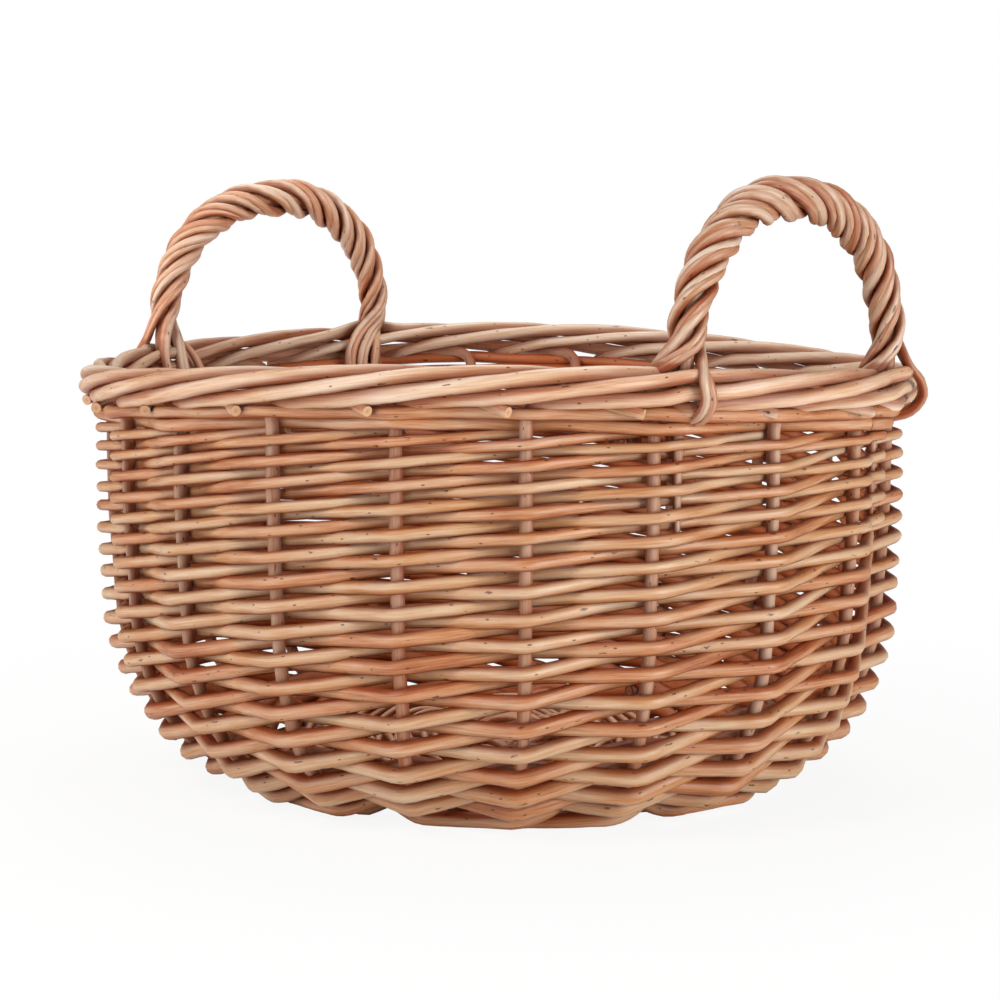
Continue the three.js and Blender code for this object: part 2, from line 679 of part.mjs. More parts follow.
const ENDS = STAKE_COUNT / 2;
const half = ENDS / 2;
const slot = new THREE.BoxGeometry(SLIT_LENGTH, 6 * STICK_PITCH, 2 * (STICK_RADIUS + GAP));
slot.rotateZ(Math.atan2(cross.y, cross.x));
slot.translate(0, 0, baseHeight(MEAN_RADIUS));
const slitPairs = [[0, half, 0], [1, half - 1, 1], [ENDS - 1, half + 1, -1]];
slitPairs.forEach(([a, b, place], i) => {
  const stops = stickStops(a, b, cross, place * STICK_PITCH, crossways, true);
  addPiece(`base_slit_stick_${i + 1}`, cutAway(rodGeometry(stops, STICK_SIDES), slot), willow[i]);
});
const throughPairs = [[2, ENDS - 2, 0.5], [3, ENDS - 3, -0.5]];
throughPairs.forEach(([a, b, place], i) => {
  const stops = stickStops(a, b, crossways, place * STICK_PITCH, cross, false);
  addPiece(`base_through_stick_${i + 1}`, rodGeometry(stops, STICK_SIDES), willow[i + 2]);
});

// Base weave: two rods chase each other outwards, over one stick end and under the next
const STAKE_FIRST_RADIUS = FOOT_RADIUS - STAKE_IN_BASE - STICK_RADIUS;
const BASE_WEAVE_WIDTH = FOOT_RADIUS + BASE_WEAVE_PAST_FOOT - BASE_WEAVE_START;
const BASE_WEAVE_STEPS = Math.round((ENDS * (BASE_WEAVE_WIDTH / BASE_WEAVE_PITCH - 1)) / 2);

function groupHalfWidth(radius) {
  if (radius < STAKE_FIRST_RADIUS) return 0;
  const beside = STICK_RADIUS + GAP + STAKE_RADIUS;
  const spread = radius * Math.sin(Math.PI / STAKE_COUNT);
  return mix(beside, spread, fanned(MEAN_RADIUS - radius)) + GROUP_ROOM;
}

function baseWeaverStops(rod) {
  const stops = [];
  for (let step = 0; step <= BASE_WEAVE_STEPS; step += 1) {
    const radius = BASE_WEAVE_START + BASE_WEAVE_PITCH * (2 * (step / ENDS) + rod);
    const direction = stickDirection(step % ENDS);
    const across = new THREE.Vector3().crossVectors(up, direction);
    const wide = groupHalfWidth(radius);
    const run = 2 * radius * Math.sin(Math.PI / ENDS) - 2 * wide;
    const reach = Math.max(STICK_RADIUS, STAKE_RADIUS) + BASE_WEAVER_RADIUS + GAP;
    const lift = reach / Math.cos(Math.atan((2 * reach) / run) * 0.9) + (wide > 0 ? GROUP_LIFT : 0);
    const side = (step + rod) % 2 === 0 ? 1 : -1;
    for (const place of wide > 0 ? [-wide, wide] : [0]) {
      const at = baseAt(step % ENDS, radius).addScaledVector(across, place);
      at.z += side * lift;
      stops.push({ at, out: up, thick: BASE_WEAVER_RADIUS, wide: BASE_WEAVER_RADIUS });
    }
  }
  return stops;
}
for (let rod = 0; rod < 2; rod += 1) {
  const stops = baseWeaverStops(rod);
  printOwnGap(`base_weaver_${rod + 1}`, stops);
  addPiece(`base_weaver_${rod + 1}`, rodGeometry(stops, SIDING_SIDES), willow[4 - rod]);
}

// Handles: a thick bow, its pointed ends pushed down beside the stakes, and four flat bundles round it
const BOW_LEG_DROPS = [BOW_TIP_DROP, 45, 30, 14, 6, 0, -5];
const BOW_STEPS = 14;

function bowPlace(handle, share) {
  const angle = Math.PI * share;
  const [first, second] = handle.legs.map((leg) => leg.at);
  const power = 2 / HANDLE_ROUNDNESS;
  const across = Math.sign(Math.cos(angle)) * Math.abs(Math.cos(angle)) ** power;
  const rise = Math.max(0, Math.sin(angle)) ** power;
  const at = first.clone().lerp(second, (1 - across) / 2);
  at.x += handle.end * handle.lean * rise;
  at.z = RIM_HEIGHT + HANDLE_LEG + (HANDLE_HEIGHT - HANDLE_LEG) * rise;
  return at;
}

function bowAt(handle, share) {
  const at = bowPlace(handle, share);
  const before = bowPlace(handle, Math.max(0, share - 0.01));
  const after = bowPlace(handle, Math.min(1, share + 0.01));
  const along = after.sub(before).normalize();
  const out = new THREE.Vector3(handle.end, 0, 0);
  out.addScaledVector(along, -out.dot(along)).normalize();
  return { at, out, along, side: new THREE.Vector3().crossVectors(along, out) };
}

function legRings(leg) {
  return BOW_LEG_DROPS.map((drop) => {
    const radius = legRadius(-drop);
    return { at: onRim(leg.station, legOut(-drop), -drop), out: leg.out, thick: radius, wide: radius };
  });
}

function bowStops(handle) {
  const [first, second] = handle.legs;
  const stops = legRings(first);
  for (let i = 0; i <= BOW_STEPS; i += 1) {
    const { at, out } = bowAt(handle, i / BOW_STEPS);
    const foot = i < BOW_STEPS / 2 ? first : second;
    const share = Math.sin((Math.PI * i) / BOW_STEPS);
    const turned = foot.out.clone().lerp(out, ease(2 * share)).normalize();
    stops.push({ at, out: turned, thick: BOW_RADIUS, wide: BOW_RADIUS });
  }
  stops.push(...legRings(second).reverse());
  return stops;
}

// Where a bundle goes from the leg, by the side it leaves on: places along the rim, outwards from
// and above the middle of the border, and the direction of its thickness in the same terms
const WRAP_ENDS = {
  over: [
    [7, 11, 13.5, 0.2, 1, 0.6], [13, 12.4, 4, 0, 1, 0.2], [15.5, 11.6, -3, 0, 1, -0.3],
    [16.5, 8.4, -9, 0, 0.6, -0.8], [16.5, 1, -11.2, 0, 0, -1],
  ],
  ahead: [
    [12, -6, 14, 0.7, -0.8, 0], [13.5, -11.6, 5, 0, -1, 0.2], [13.5, -13.2, -4, 0, -1, 0],
    [13.5, -14.2, -14, 0, -1, 0], [13.5, -14.2, -25, 0, -1, 0],
  ],
  inside: [
    [-2, -11, 13, 0, -1, 0.4], [-4, -14.4, 4, 0, -1, 0], [-4.5, -14.8, -4, 0, -1, 0],
    [-4.5, -14.6, -14, 0, -1, 0], [-4.5, -14.6, -22, 0, -1, 0],
  ],
  behind: [
    [-13, -6, 14, -0.7, -0.8, 0], [-17, -11.6, 5, 0, -1, 0.2], [-18, -13.2, -4, 0, -1, 0],
    [-18, -14.2, -14, 0, -1, 0], [-18, -14.2, -25, 0, -1, 0],
  ],
};
const WRAP_END_THINNING = 0.72;

function legFrame(leg) {
  return { outwards: leg.out, ahead: new THREE.Vector3().crossVectors(up, leg.out) };
}

function wrapEnd(leg, direction) {
  const { outwards, ahead } = legFrame(leg);
  const outShare = direction.dot(outwards);
  const aheadShare = direction.dot(ahead);
  let route = outShare > 0 ? 'over' : 'inside';
  if (Math.abs(aheadShare) > Math.abs(outShare)) route = aheadShare > 0 ? 'ahead' : 'behind';
  return WRAP_ENDS[route].map(([along, out, height, turnAhead, turnOut, turnUp], i, list) => {
    const at = leg.at.clone().addScaledVector(ahead, along).addScaledVector(outwards, out);
    const turn = ahead.clone().multiplyScalar(turnAhead).addScaledVector(outwards, turnOut);
    const size = mix(1, WRAP_END_THINNING, (i + 1) / list.length);
    return {
      at: at.setZ(RIM_HEIGHT + height),
      out: turn.addScaledVector(up, turnUp),
      thick: WRAP_HALF_THICKNESS * size,
      wide: WRAP_HALF_WIDTH * size,
    };
  });
}

function wrapStops(handle, bundle) {
  const steps = Math.round(WRAP_TURNS * WRAP_STEPS);
  const radius = (BOW_RADIUS + GAP + WRAP_HALF_THICKNESS) / Math.cos(Math.PI / WRAP_STEPS);
  const rise = HANDLE_HEIGHT - HANDLE_LEG;
  const clear = Math.asin((WRAP_LEAVE - HANDLE_LEG) / rise) / Math.PI;
  const stops = [];
  for (let i = 0; i <= steps; i += 1) {
    const { at, out, side } = bowAt(handle, mix(clear, 1 - clear, i / steps));
    const angle = 2 * Math.PI * (bundle / WRAP_RODS + (WRAP_TURNS * i) / steps);
    const away = out.clone().multiplyScalar(Math.cos(angle)).addScaledVector(side, Math.sin(angle));
    stops.push({
      at: at.addScaledVector(away, radius),
      out: away,
      thick: WRAP_HALF_THICKNESS,
      wide: WRAP_HALF_WIDTH,
    });
  }
  const [first, second] = handle.legs;
  const before = wrapEnd(first, stops[0].out).reverse();
  return [...before, ...stops, ...wrapEnd(second, stops[stops.length - 1].out)];
}

for (const handle of handles) {
  addPiece(`${handle.label}_handle_bow`, rodGeometry(bowStops(handle), STICK_SIDES), willow[0]);
  for (let bundle = 0; bundle < WRAP_RODS; bundle += 1) {
    const name = `${handle.label}_handle_wrap_${bundle + 1}`;
    const stops = wrapStops(handle, bundle);
    printOwnGap(name, stops);
    addPiece(name, rodGeometry(stops, SIDING_SIDES), willow[bundle]);
  }
}

// The frame's origin is the middle of the footprint
const middle = new THREE.Box3().setFromObject(basket).getCenter(new THREE.Vector3());
basket.position.set(-middle.x, -middle.y, 0);

export default basket;
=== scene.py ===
"""A wicker basket of peeled willow, nearly round, with two roped ear handles.

Every rod is drawn along its own path, in millimetres, and swept by one Geometry Nodes tree.
"""

import bisect
import math
import random

import bpy
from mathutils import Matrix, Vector


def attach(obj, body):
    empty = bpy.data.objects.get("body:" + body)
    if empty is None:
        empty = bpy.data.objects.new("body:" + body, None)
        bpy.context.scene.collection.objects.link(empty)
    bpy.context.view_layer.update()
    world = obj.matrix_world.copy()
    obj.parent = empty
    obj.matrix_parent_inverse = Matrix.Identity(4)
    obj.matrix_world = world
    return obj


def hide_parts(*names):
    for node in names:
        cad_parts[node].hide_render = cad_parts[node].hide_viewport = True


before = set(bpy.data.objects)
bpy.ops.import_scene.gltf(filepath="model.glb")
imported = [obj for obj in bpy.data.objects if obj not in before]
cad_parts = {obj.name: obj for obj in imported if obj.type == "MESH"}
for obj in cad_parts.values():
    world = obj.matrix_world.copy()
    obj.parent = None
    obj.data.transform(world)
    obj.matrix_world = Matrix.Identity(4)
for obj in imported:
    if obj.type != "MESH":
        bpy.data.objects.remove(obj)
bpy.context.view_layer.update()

MM = 0.001
UP = Vector((0, 0, 1))

# Sizes in millimetres, from the middle of a rod where nothing else is said
RIM_HALF_LENGTH = 190.5
RIM_HALF_WIDTH = 173
RIM_HEIGHT = 186
STAKE_COUNT = 20
STAKE_PHASE = 0.895  # where the first stake stands, in stake spacings from the X axis
GAP = 0.3  # left between neighbouring rods

# The stakes and the wall; an inset is how far inside the border's middle something lies
STAKE_RADIUS = 2.9
STAKE_INSET = 4
WALL_ROUNDNESS = 3  # power of the wall's outline: 2 is a plain ellipse
WALL_FOOT_INSET = 92
WALL_TOP_DROP = 20
FAN_START_INSET = 98  # from here the stakes leave the base's sticks
FAN_END_INSET = 70
STAKE_IN_BASE = 16
STAKE_STRAIGHT_DROP = 17
STAKE_STOPS = 24
# A stake bends into the border: progress in stake spacings, outwards, height
STAKE_BEND = [(0, -3.6, -11.2), (0.06, -2.9, -7.6)]

# The border, a rope of the stakes' own ends that parts round each leg of a handle
BORDER_ROD_RADIUS = 2.8
BORDER_ROPE_RADIUS = 5.6
BORDER_SPAN = 4.7  # stake spacings that an end runs for
BORDER_RODS = 5
BORDER_START_ANGLE = -108  # degrees from straight outwards
BORDER_STEPS = 3
BORDER_TIP_RADIUS = 2.4
BORDER_FULLNESS = 1.17
PARTING_REACH = 0.2  # stake spacings before and after a leg
PARTING_SLACK = 1.4
PARTING_ROUNDS = 60
PARTING_PULL = 0.1  # share by which a rod is drawn back to the plain rope in each round
# A border rod's trimmed end comes out under the border: progress, outwards, height
BORDER_TIP = [(4.66, -2.2, -6.6), (4.76, 2.6, -8.2), (4.86, 6.6, -9.8)]
BORDER_TIP_LEAD = 0.08

# The siding; a course is one stake spacing along a rod
SIDING_COURSES = 32
SIDING_TAPER = 0.62  # tip thickness as a share of butt thickness
SIDING_CROWDING = 0.08  # share of the pitch lost at the foot
SIDING_CROWDED_COURSES = 12
SIDING_END_PAST = 0.35
SIDING_STEPS = 6
SIDING_STRAIGHTNESS = 0.8
SIDING_TUCKED_DOWN = 3
SIDING_TUCKED_UP = 1.2
SIDING_FULLNESS = (1.13, 1.27)
# Low on the wall the rods are fuller and lie closer to the stakes, up to these courses
SIDING_LOW_FULLNESS = 1.2
SIDING_FULL_COURSES = 12
SIDING_PRESS = 0.8
SIDING_PRESSED_COURSES = 14
# Waves in each rod's climb: height, and radians for each course
SIDING_WAVES = [(0.4, 1.9), (0.3, 0.8)]

# The wales at the foot (the upsett) and under the border
UPSETT_TWIST = 3.9
UPSETT_MIDDLES = [17.5, 30.5]  # places of its two rounds along the wall's outline
UPSETT_ROD = 3.5
UPSETT_STROKES = 7
UPSETT_STEPS = 6
# In or out, early or late in the climb, and parted down or up, at the three stakes of one stroke
UPSETT_PHASES = [(-1, 0, -1.8), (1, -1, 0), (1, 1, 1.8)]
TOP_WALE_RADIUS = 1.9  # of the room that it has in the weave
TOP_WALE_ROD = 2.95
TOP_WALE_LIFT = 4.8  # from its lower rod to its upper one
TOP_WALE_SLACK = 0.55
TUCK_ROOM = 4.9  # left under the border for the handles' rods

# The base; a group is the end of a stick with the two stakes beside it
BASE_HEIGHT = 8.9
BASE_DOME = 5  # rise of the base in its middle
STICK_RADIUS = 3
STICK_END_INSET = 80
SLIT_LENGTH = 13.2
CROSSING_ROOM = 2
STICK_OPENING_RADIUS = 33  # the sticks lie bundled inside this radius
BASE_WEAVER_RADIUS = 1.9
BASE_WEAVE_START = 36
BASE_WEAVE_PITCH = 4.35
BASE_WEAVE_ROUNDS = 7
BASE_WEAVE_KINK = 0.9
GROUP_ROOM = 1.2
GROUP_LIFT = 1.15
GROUP_LEAD = 3  # a weaver bends round the stakes from this far before their ends
# Each weaver's first rounds, by which it ties the cross
TIE_START = 16
TIE_PITCH = 4
TIE_ROUNDS = 3
TIE_APART = 0.8
# Half the width of the cross's two kinds of arm at a reach, and its growth from there outwards
TIE_WIDTHS = [(3.6, 4, 0.72), (3.6, 3, 0.35)]

# The handles; heights and drops are from the middle of the border
HANDLE_HEIGHT = 77.4
HANDLE_LEG = 10
BOW_RADIUS = 4.1
BOW_STOPS = 28
LEG_FULLNESS = 0.8
LEG_INSET = 1.5
LEG_SETTLE_DROP = 12  # from here down a leg stands in line with the stakes
LEG_TIP_ROOM = 4
BOW_LEG_RADIUS = 3.2  # where it is shaved to enter the border
BOW_TIP_RADIUS = 1.2
BOW_TIP_DROP = 60
BOW_LEG_DROPS = [BOW_TIP_DROP, 52, 45, 37, 30, 22, 14, 6, 0, -5]
WRAP_RODS = 4  # bundles of two thin rods each
WRAP_HALF_THICKNESS = 2.1
WRAP_PRESS = 0.1
WRAP_ROD_RADIUS = 2.55
WRAP_ROD_APART = 1.3
WRAP_TURNS = 3.5
WRAP_STEPS = 9  # stops for each turn
WRAP_LEAVE = 17  # height at which the bundles leave the bow
# A bundle strays from its even winding by this many radians, over this many radians of wave
WRAP_STRAY = 0.16
WRAP_STRAY_WAVE = 9

# Waves that keep rods from being too even: how much, as a share, in millimetres or in radians, and
# the wave's radians from one stop to the next and from one rod to the next
UNEVEN = {
    "border girth": (0.07, 2.6, 0),
    "top wale height": (0.8, 1.7, 2),
    "top wale girth": (0.16, 2.3, 3),
    "bundle tilt": (0.6, 0.45, 2.1),
    "bundle girth": (0.1, 0.6, 1.3),
}
TURN = 6.28  # radians within which a wave starts


def mix(a, b, share):
    return a + (b - a) * share


def ease(value, start, end):
    """From 0 at start to 1 at end, leaving and arriving gently."""
    share = min(1.0, max(0.0, (value - start) / (end - start)))
    return share * share * (3 - 2 * share)


def uneven(kind, stop, rod=0):
    """How far one of the waves takes a stop of a rod from an even one."""
    amount, pace, from_rod = UNEVEN[kind]
    return amount * math.sin(pace * stop + from_rod * rod)


# The rim, walked in stake spacings, counter-clockwise from +X
RIM_SAMPLES = 1440
rim_lengths = [0.0]
for i in range(1, RIM_SAMPLES + 1):
    before, after = (2 * math.pi * k / RIM_SAMPLES for k in (i - 1, i))
    dx = RIM_HALF_LENGTH * (math.cos(after) - math.cos(before))
    dy = RIM_HALF_WIDTH * (math.sin(after) - math.sin(before))
    rim_lengths.append(rim_lengths[-1] + math.hypot(dx, dy))
SPACING = rim_lengths[-1] / STAKE_COUNT
MEAN_RADIUS = (RIM_HALF_LENGTH + RIM_HALF_WIDTH) / 2


def rim_at(station):
    """The border's middle at a station, counted in stake spacings, and its outward direction."""
    length = (station % STAKE_COUNT) * SPACING
    low = min(bisect.bisect_right(rim_lengths, length) - 1, RIM_SAMPLES - 1)
    share = (length - rim_lengths[low]) / (rim_lengths[low + 1] - rim_lengths[low])
    angle = 2 * math.pi * (low + share) / RIM_SAMPLES
    at = Vector((RIM_HALF_LENGTH * math.cos(angle), RIM_HALF_WIDTH * math.sin(angle), 0))
    out = Vector((math.cos(angle) / RIM_HALF_LENGTH, math.sin(angle) / RIM_HALF_WIDTH, 0))
    return at, out.normalized()


def station_gap(a, b):
    """From station b to station a the shorter way round, in stake spacings."""
    difference = (a - b) % STAKE_COUNT
    return difference - STAKE_COUNT if difference > STAKE_COUNT / 2 else difference


# The wall's outline, as inset from the border and height, walked by its length
WALL_TOP = RIM_HEIGHT - WALL_TOP_DROP
OUTLINE_SAMPLES = 300
outline = []
for i in range(OUTLINE_SAMPLES + 1):
    angle = math.pi / 2 * i / OUTLINE_SAMPLES
    reach = math.sin(angle) ** (2 / WALL_ROUNDNESS)
    drop = max(0.0, math.cos(angle)) ** (2 / WALL_ROUNDNESS)
    inset = mix(WALL_FOOT_INSET, STAKE_INSET, reach)
    height = WALL_TOP - (WALL_TOP - BASE_HEIGHT) * drop
    length = 0.0
    if outline:
        length = outline[-1][2] + math.hypot(inset - outline[-1][0], height - outline[-1][1])
    outline.append((inset, height, length))
outline_lengths = [sample[2] for sample in outline]
WALL_LENGTH = outline_lengths[-1]


def base_height(inset):
    """The domed base's middle."""
    edge = MEAN_RADIUS - WALL_FOOT_INSET
    return BASE_HEIGHT + BASE_DOME * max(0.0, 1 - ((MEAN_RADIUS - inset) / edge) ** 2)


def outline_at(climb):
    """Inset, height, and the outline's direction there as run and rise."""
    if climb <= 0:
        inset = WALL_FOOT_INSET - climb
        return inset, base_height(inset), 1, 0
    if climb >= WALL_LENGTH:
        return STAKE_INSET, WALL_TOP + climb - WALL_LENGTH, 0, 1
    low = bisect.bisect_left(outline_lengths, climb) - 1
    a, b = outline[low], outline[low + 1]
    step = b[2] - a[2]
    share = (climb - a[2]) / step
    return mix(a[0], b[0], share), mix(a[1], b[1], share), (a[0] - b[0]) / step, (b[1] - a[1]) / step


def on_stick(stick, radius):
    """A place on the line of a base stick's end, between its two stakes."""
    return rim_at(2 * stick + 0.5 + STAKE_PHASE)[0] * (radius / MEAN_RADIUS)


def stake_at(stake, climb):
    """Middle of a stake and the wall's outward direction there."""
    inset, height, run, rise = outline_at(climb)
    rim, rim_out = rim_at(stake + STAKE_PHASE)
    wall = rim * (1 - inset / MEAN_RADIUS)
    stick = stake // 2
    direction = on_stick(stick, 1).normalized()
    across = UP.cross(direction)
    hand = -1 if stake % 2 == 0 else 1
    beside = on_stick(stick, MEAN_RADIUS - inset)
    beside += across * (hand * (STICK_RADIUS + GAP + STAKE_RADIUS))
    share = ease(inset, FAN_START_INSET, FAN_END_INSET)
    at = beside.lerp(wall, share)
    at.z = height
    flat = direction.lerp(rim_out, share).normalized()
    return at, (flat * rise - UP * run).normalized()


def leg_at(stake, past):
    """A leg beside a stake: its station, and the place and outward direction of the rim there."""
    station = (stake + STAKE_PHASE + past / SPACING) % STAKE_COUNT
    return (station, *rim_at(station))


# Each handle: its end of the basket, how far its top leans outwards, the power of its outline at
# each leg, and for each leg a stake and how far past it the leg stands. The sweeps say how far along
# the rim each bundle ends from its leg, counter-clockwise, by the side of the leg that it winds on to.
HANDLES = {
    "right": {
        "end": 1, "lean": 0, "roundness": (2.15, 2.3), "legs": [leg_at(18, 9.1), leg_at(0, 21.4)],
        "sweeps": [{"over": 4, "inside": -13, "ahead": 2, "behind": -20},
                   {"over": 10, "inside": -3, "ahead": 3, "behind": -14}],
    },
    "left": {
        "end": -1, "lean": -6, "roundness": (2.1, 2.4), "legs": [leg_at(8, -6.6), leg_at(10, 11.5)],
        "sweeps": [{"over": 7, "inside": 10, "ahead": 16, "behind": 3},
                   {"over": 5, "inside": 1, "ahead": 14, "behind": -14}],
    },
}
LEGS = [leg for handle in HANDLES.values() for leg in handle["legs"]]


def leg_out(height):
    """How far outwards a leg stands from the middle of the border, at a height above it."""
    if height > 0:
        return mix(-LEG_INSET, 0, min(1, height / HANDLE_LEG))
    return mix(-LEG_INSET, -STAKE_INSET, min(1, -height / LEG_SETTLE_DROP))


def leg_radius(height):
    """A bow is shaved where it enters the border, and pointed below."""
    if height > HANDLE_LEG:
        return BOW_RADIUS
    if height > 0:
        return mix(BOW_LEG_RADIUS, BOW_RADIUS, height / HANDLE_LEG)
    return mix(BOW_LEG_RADIUS, BOW_TIP_RADIUS, -height / BOW_TIP_DROP)


def on_rim(station, outwards, height):
    """A place by how far outwards and up it lies from the border's middle."""
    rim, out = rim_at(station)
    at = rim + out * outwards
    at.z = RIM_HEIGHT + height
    return at


# The basket is handmade: slow waves move all rods at a place together. Each wave has its number
# round the basket, its start, and its twist for each millimetre of height.
rng = random.Random(11)
WAVES = [(rng.randint(2, 9), rng.uniform(0, TURN), rng.uniform(-0.02, 0.02)) for _ in range(6)]
INWARD_WAVES = WAVES[:3]
RISING_WAVES = WAVES[3:]
WAVES_START = (12, 62)
INWARD_HEIGHT = 0.8
RISING_HEIGHT = 1.1
# Near the border the waves rise less
CALM_HEIGHTS = (150, 186)
CALMED_SHARE = 0.6
# Stakes in front that stand off their even spacing: direction in degrees, shift, width in degrees
STAKE_SHIFTS = [(-62, 5.0, 11), (-43, 2.6, 9), (-24, -4.4, 9), (-4, -2.4, 9)]
SHIFT_LEAST_RADIUS = 100
# Half way up, the wall lies further in: it goes in between the first heights, and out between the others
WALL_PULL = 2.7
WALL_PULL_GROWS = (62, 107)
WALL_PULL_FADES = (168, 184)
# The border dips on two sides and is lifted between them, and the lift fades up the handles
RIM_DIP = 7
RIM_DIP_DIRECTION = 50
RIM_LIFT = 2.2
RIM_LIFT_GROWS = (90, 186)
RIM_LIFT_FADES = (RIM_HEIGHT + 12, RIM_HEIGHT + 62)
FOOTPRINT_SHIFT = -0.24


def swell(waves, angle, height):
    """The mean height of some waves at a place."""
    heights = [math.sin(number * angle + start + height * twist) for number, start, twist in waves]
    return sum(heights) / len(heights)


def by_hand(point):
    """The place of a point on the real, uneven basket."""
    angle = math.atan2(point.y, point.x)
    dip = (1 + math.cos(2 * (angle - math.radians(RIM_DIP_DIRECTION)))) / 2
    height = min(point.z, RIM_HEIGHT)
    lifted = ease(height, *WAVES_START)
    inwards = swell(INWARD_WAVES, angle, height)
    rise = swell(RISING_WAVES, angle, height)
    radius = math.hypot(point.x, point.y)
    turn = 0.0
    for centre, shift, width in STAKE_SHIFTS:
        turn += shift * math.exp(-(((math.degrees(angle) - centre) / width) ** 2))
    angle += turn * lifted / max(radius, SHIFT_LEAST_RADIUS)
    radius -= INWARD_HEIGHT * lifted * (1 + inwards)
    radius -= WALL_PULL * ease(height, *WALL_PULL_GROWS) * (1 - ease(height, *WALL_PULL_FADES))
    z = point.z - RIM_DIP * dip * height / RIM_HEIGHT
    z += RISING_HEIGHT * lifted * rise * (1 - CALMED_SHARE * ease(height, *CALM_HEIGHTS))
    z += RIM_LIFT * (1 - dip) * ease(height, *RIM_LIFT_GROWS) * (1 - ease(point.z, *RIM_LIFT_FADES))
    return Vector((radius * math.cos(angle) + FOOTPRINT_SHIFT, radius * math.sin(angle), z))


# Border
def rope_place(progress):
    """Outwards and height of a rod in the plain rope, by the stake spacings since its stake."""
    angle = math.radians(BORDER_START_ANGLE + 360 / BORDER_RODS * progress)
    return BORDER_ROPE_RADIUS * math.cos(angle), BORDER_ROPE_RADIUS * math.sin(angle)


def border_radius(progress):
    return mix(BORDER_ROD_RADIUS, BORDER_TIP_RADIUS, progress / BORDER_SPAN)


# Places closer along the border than this share of a stake spacing count as one
SAME_STATION = 0.1


def near_any(places, station):
    return any(abs(station_gap(place, station)) < SAME_STATION for place in places)


def border_stations():
    """Where the border's rods get their stops: at stakes, legs and partings, and evenly between."""
    at_stakes = [stake + STAKE_PHASE for stake in range(STAKE_COUNT)]
    evenly = [place + k / BORDER_STEPS for place in at_stakes for k in range(1, BORDER_STEPS)]
    kept = at_stakes + [leg[0] for leg in LEGS]
    beside = [leg[0] + side * PARTING_REACH for leg in LEGS for side in (-1, 1)]
    kept += [station for station in beside if not near_any(at_stakes, station)]
    kept += [station for station in evenly if not near_any(kept, station)]
    return kept


def push_from_leg(rod, along):
    """Moves a border rod out of the way of a leg that stands further along the border."""
    reach = PARTING_REACH * SPACING
    room = leg_radius(rod["height"]) + border_radius(rod["progress"]) + GAP
    widest = room / math.sqrt(1 - (room / reach) ** 2)
    wanted = widest * (1 - abs(along) / reach)
    middle = leg_out(rod["height"])
    if rod["side"] * (rod["outwards"] - middle) < wanted:
        rod["outwards"] = middle + rod["side"] * wanted


def push_apart(a, b, slack):
    """Moves two border rods apart until they have room."""
    dx = b["outwards"] - a["outwards"]
    dz = b["height"] - a["height"]
    distance = math.hypot(dx, dz)
    room = border_radius(a["progress"]) + border_radius(b["progress"]) + GAP + slack
    if distance >= room:
        return
    half = (room - distance) / 2 / distance
    a["outwards"] -= dx * half
    a["height"] -= dz * half
    b["outwards"] += dx * half
    b["height"] += dz * half


def border_at(station):
    """Rods of the border at one place, eased apart where a handle's leg passes through."""
    leg = next((one for one in LEGS if abs(station_gap(station, one[0])) < PARTING_REACH), None)
    to_leg = station_gap(leg[0], station) if leg else 0
    rods = []
    for stake in range(STAKE_COUNT):
        progress = station_gap(station, stake + STAKE_PHASE)
        if progress < SAME_STATION or progress > BORDER_SPAN:
            continue
        outwards, height = rope_place(progress)
        side = 1 if rope_place(progress + to_leg)[0] > leg_out(0) else -1
        rods.append({"stake": stake, "station": station, "progress": progress, "side": side,
                     "outwards": outwards, "height": height})
    for step in range(PARTING_ROUNDS):
        for rod in rods:
            outwards, height = rope_place(rod["progress"])
            pull = PARTING_PULL * (1 - step / PARTING_ROUNDS)
            rod["outwards"] = mix(rod["outwards"], outwards, pull)
            rod["height"] = mix(rod["height"], height, pull)
            if leg:
                push_from_leg(rod, to_leg * SPACING)
        for i, a in enumerate(rods):
            for b in rods[i + 1:]:
                push_apart(a, b, PARTING_SLACK if leg else 0)
    if leg:
        for rod in rods:
            push_from_leg(rod, to_leg * SPACING)
    return rods


border = [[] for _ in range(STAKE_COUNT)]
for place in border_stations():
    for rod in border_at(place):
        border[rod["stake"]].append(rod)
for rods in border:
    rods.sort(key=lambda rod: rod["progress"])


# Paths: lists of (place, radius), all in millimetres
def stake_path(stake):
    """A stake from the base up the wall, and its own end along the border."""
    stops = []
    last = RIM_HEIGHT - WALL_TOP + WALL_LENGTH - STAKE_STRAIGHT_DROP
    for i in range(STAKE_STOPS + 1):
        at, _ = stake_at(stake, mix(-STAKE_IN_BASE, last, i / STAKE_STOPS))
        stops.append((at, STAKE_RADIUS))
    start = stake + STAKE_PHASE
    for progress, outwards, height in STAKE_BEND:
        stops.append((on_rim(start + progress, outwards, height), BORDER_ROD_RADIUS))
    fullness = BORDER_FULLNESS + uneven("border girth", stake)
    for rod in border[stake]:
        radius = border_radius(rod["progress"]) * fullness
        if rod["progress"] < BORDER_TIP[0][0] - BORDER_TIP_LEAD:
            stops.append((on_rim(rod["station"], rod["outwards"], rod["height"]), radius))
    for progress, outwards, height in BORDER_TIP:
        stops.append((on_rim(start + progress, outwards, height), BORDER_TIP_RADIUS))
    return stops


def between(stake, share, climb):
    """A place between a stake and the next, and the wall's outward direction there."""
    at, out = stake_at(stake % STAKE_COUNT, climb)
    if share:
        at_next, out_next = stake_at((stake + 1) % STAKE_COUNT, climb)
        at = at.lerp(at_next, share)
        out = out.lerp(out_next, share).normalized()
    return at, out


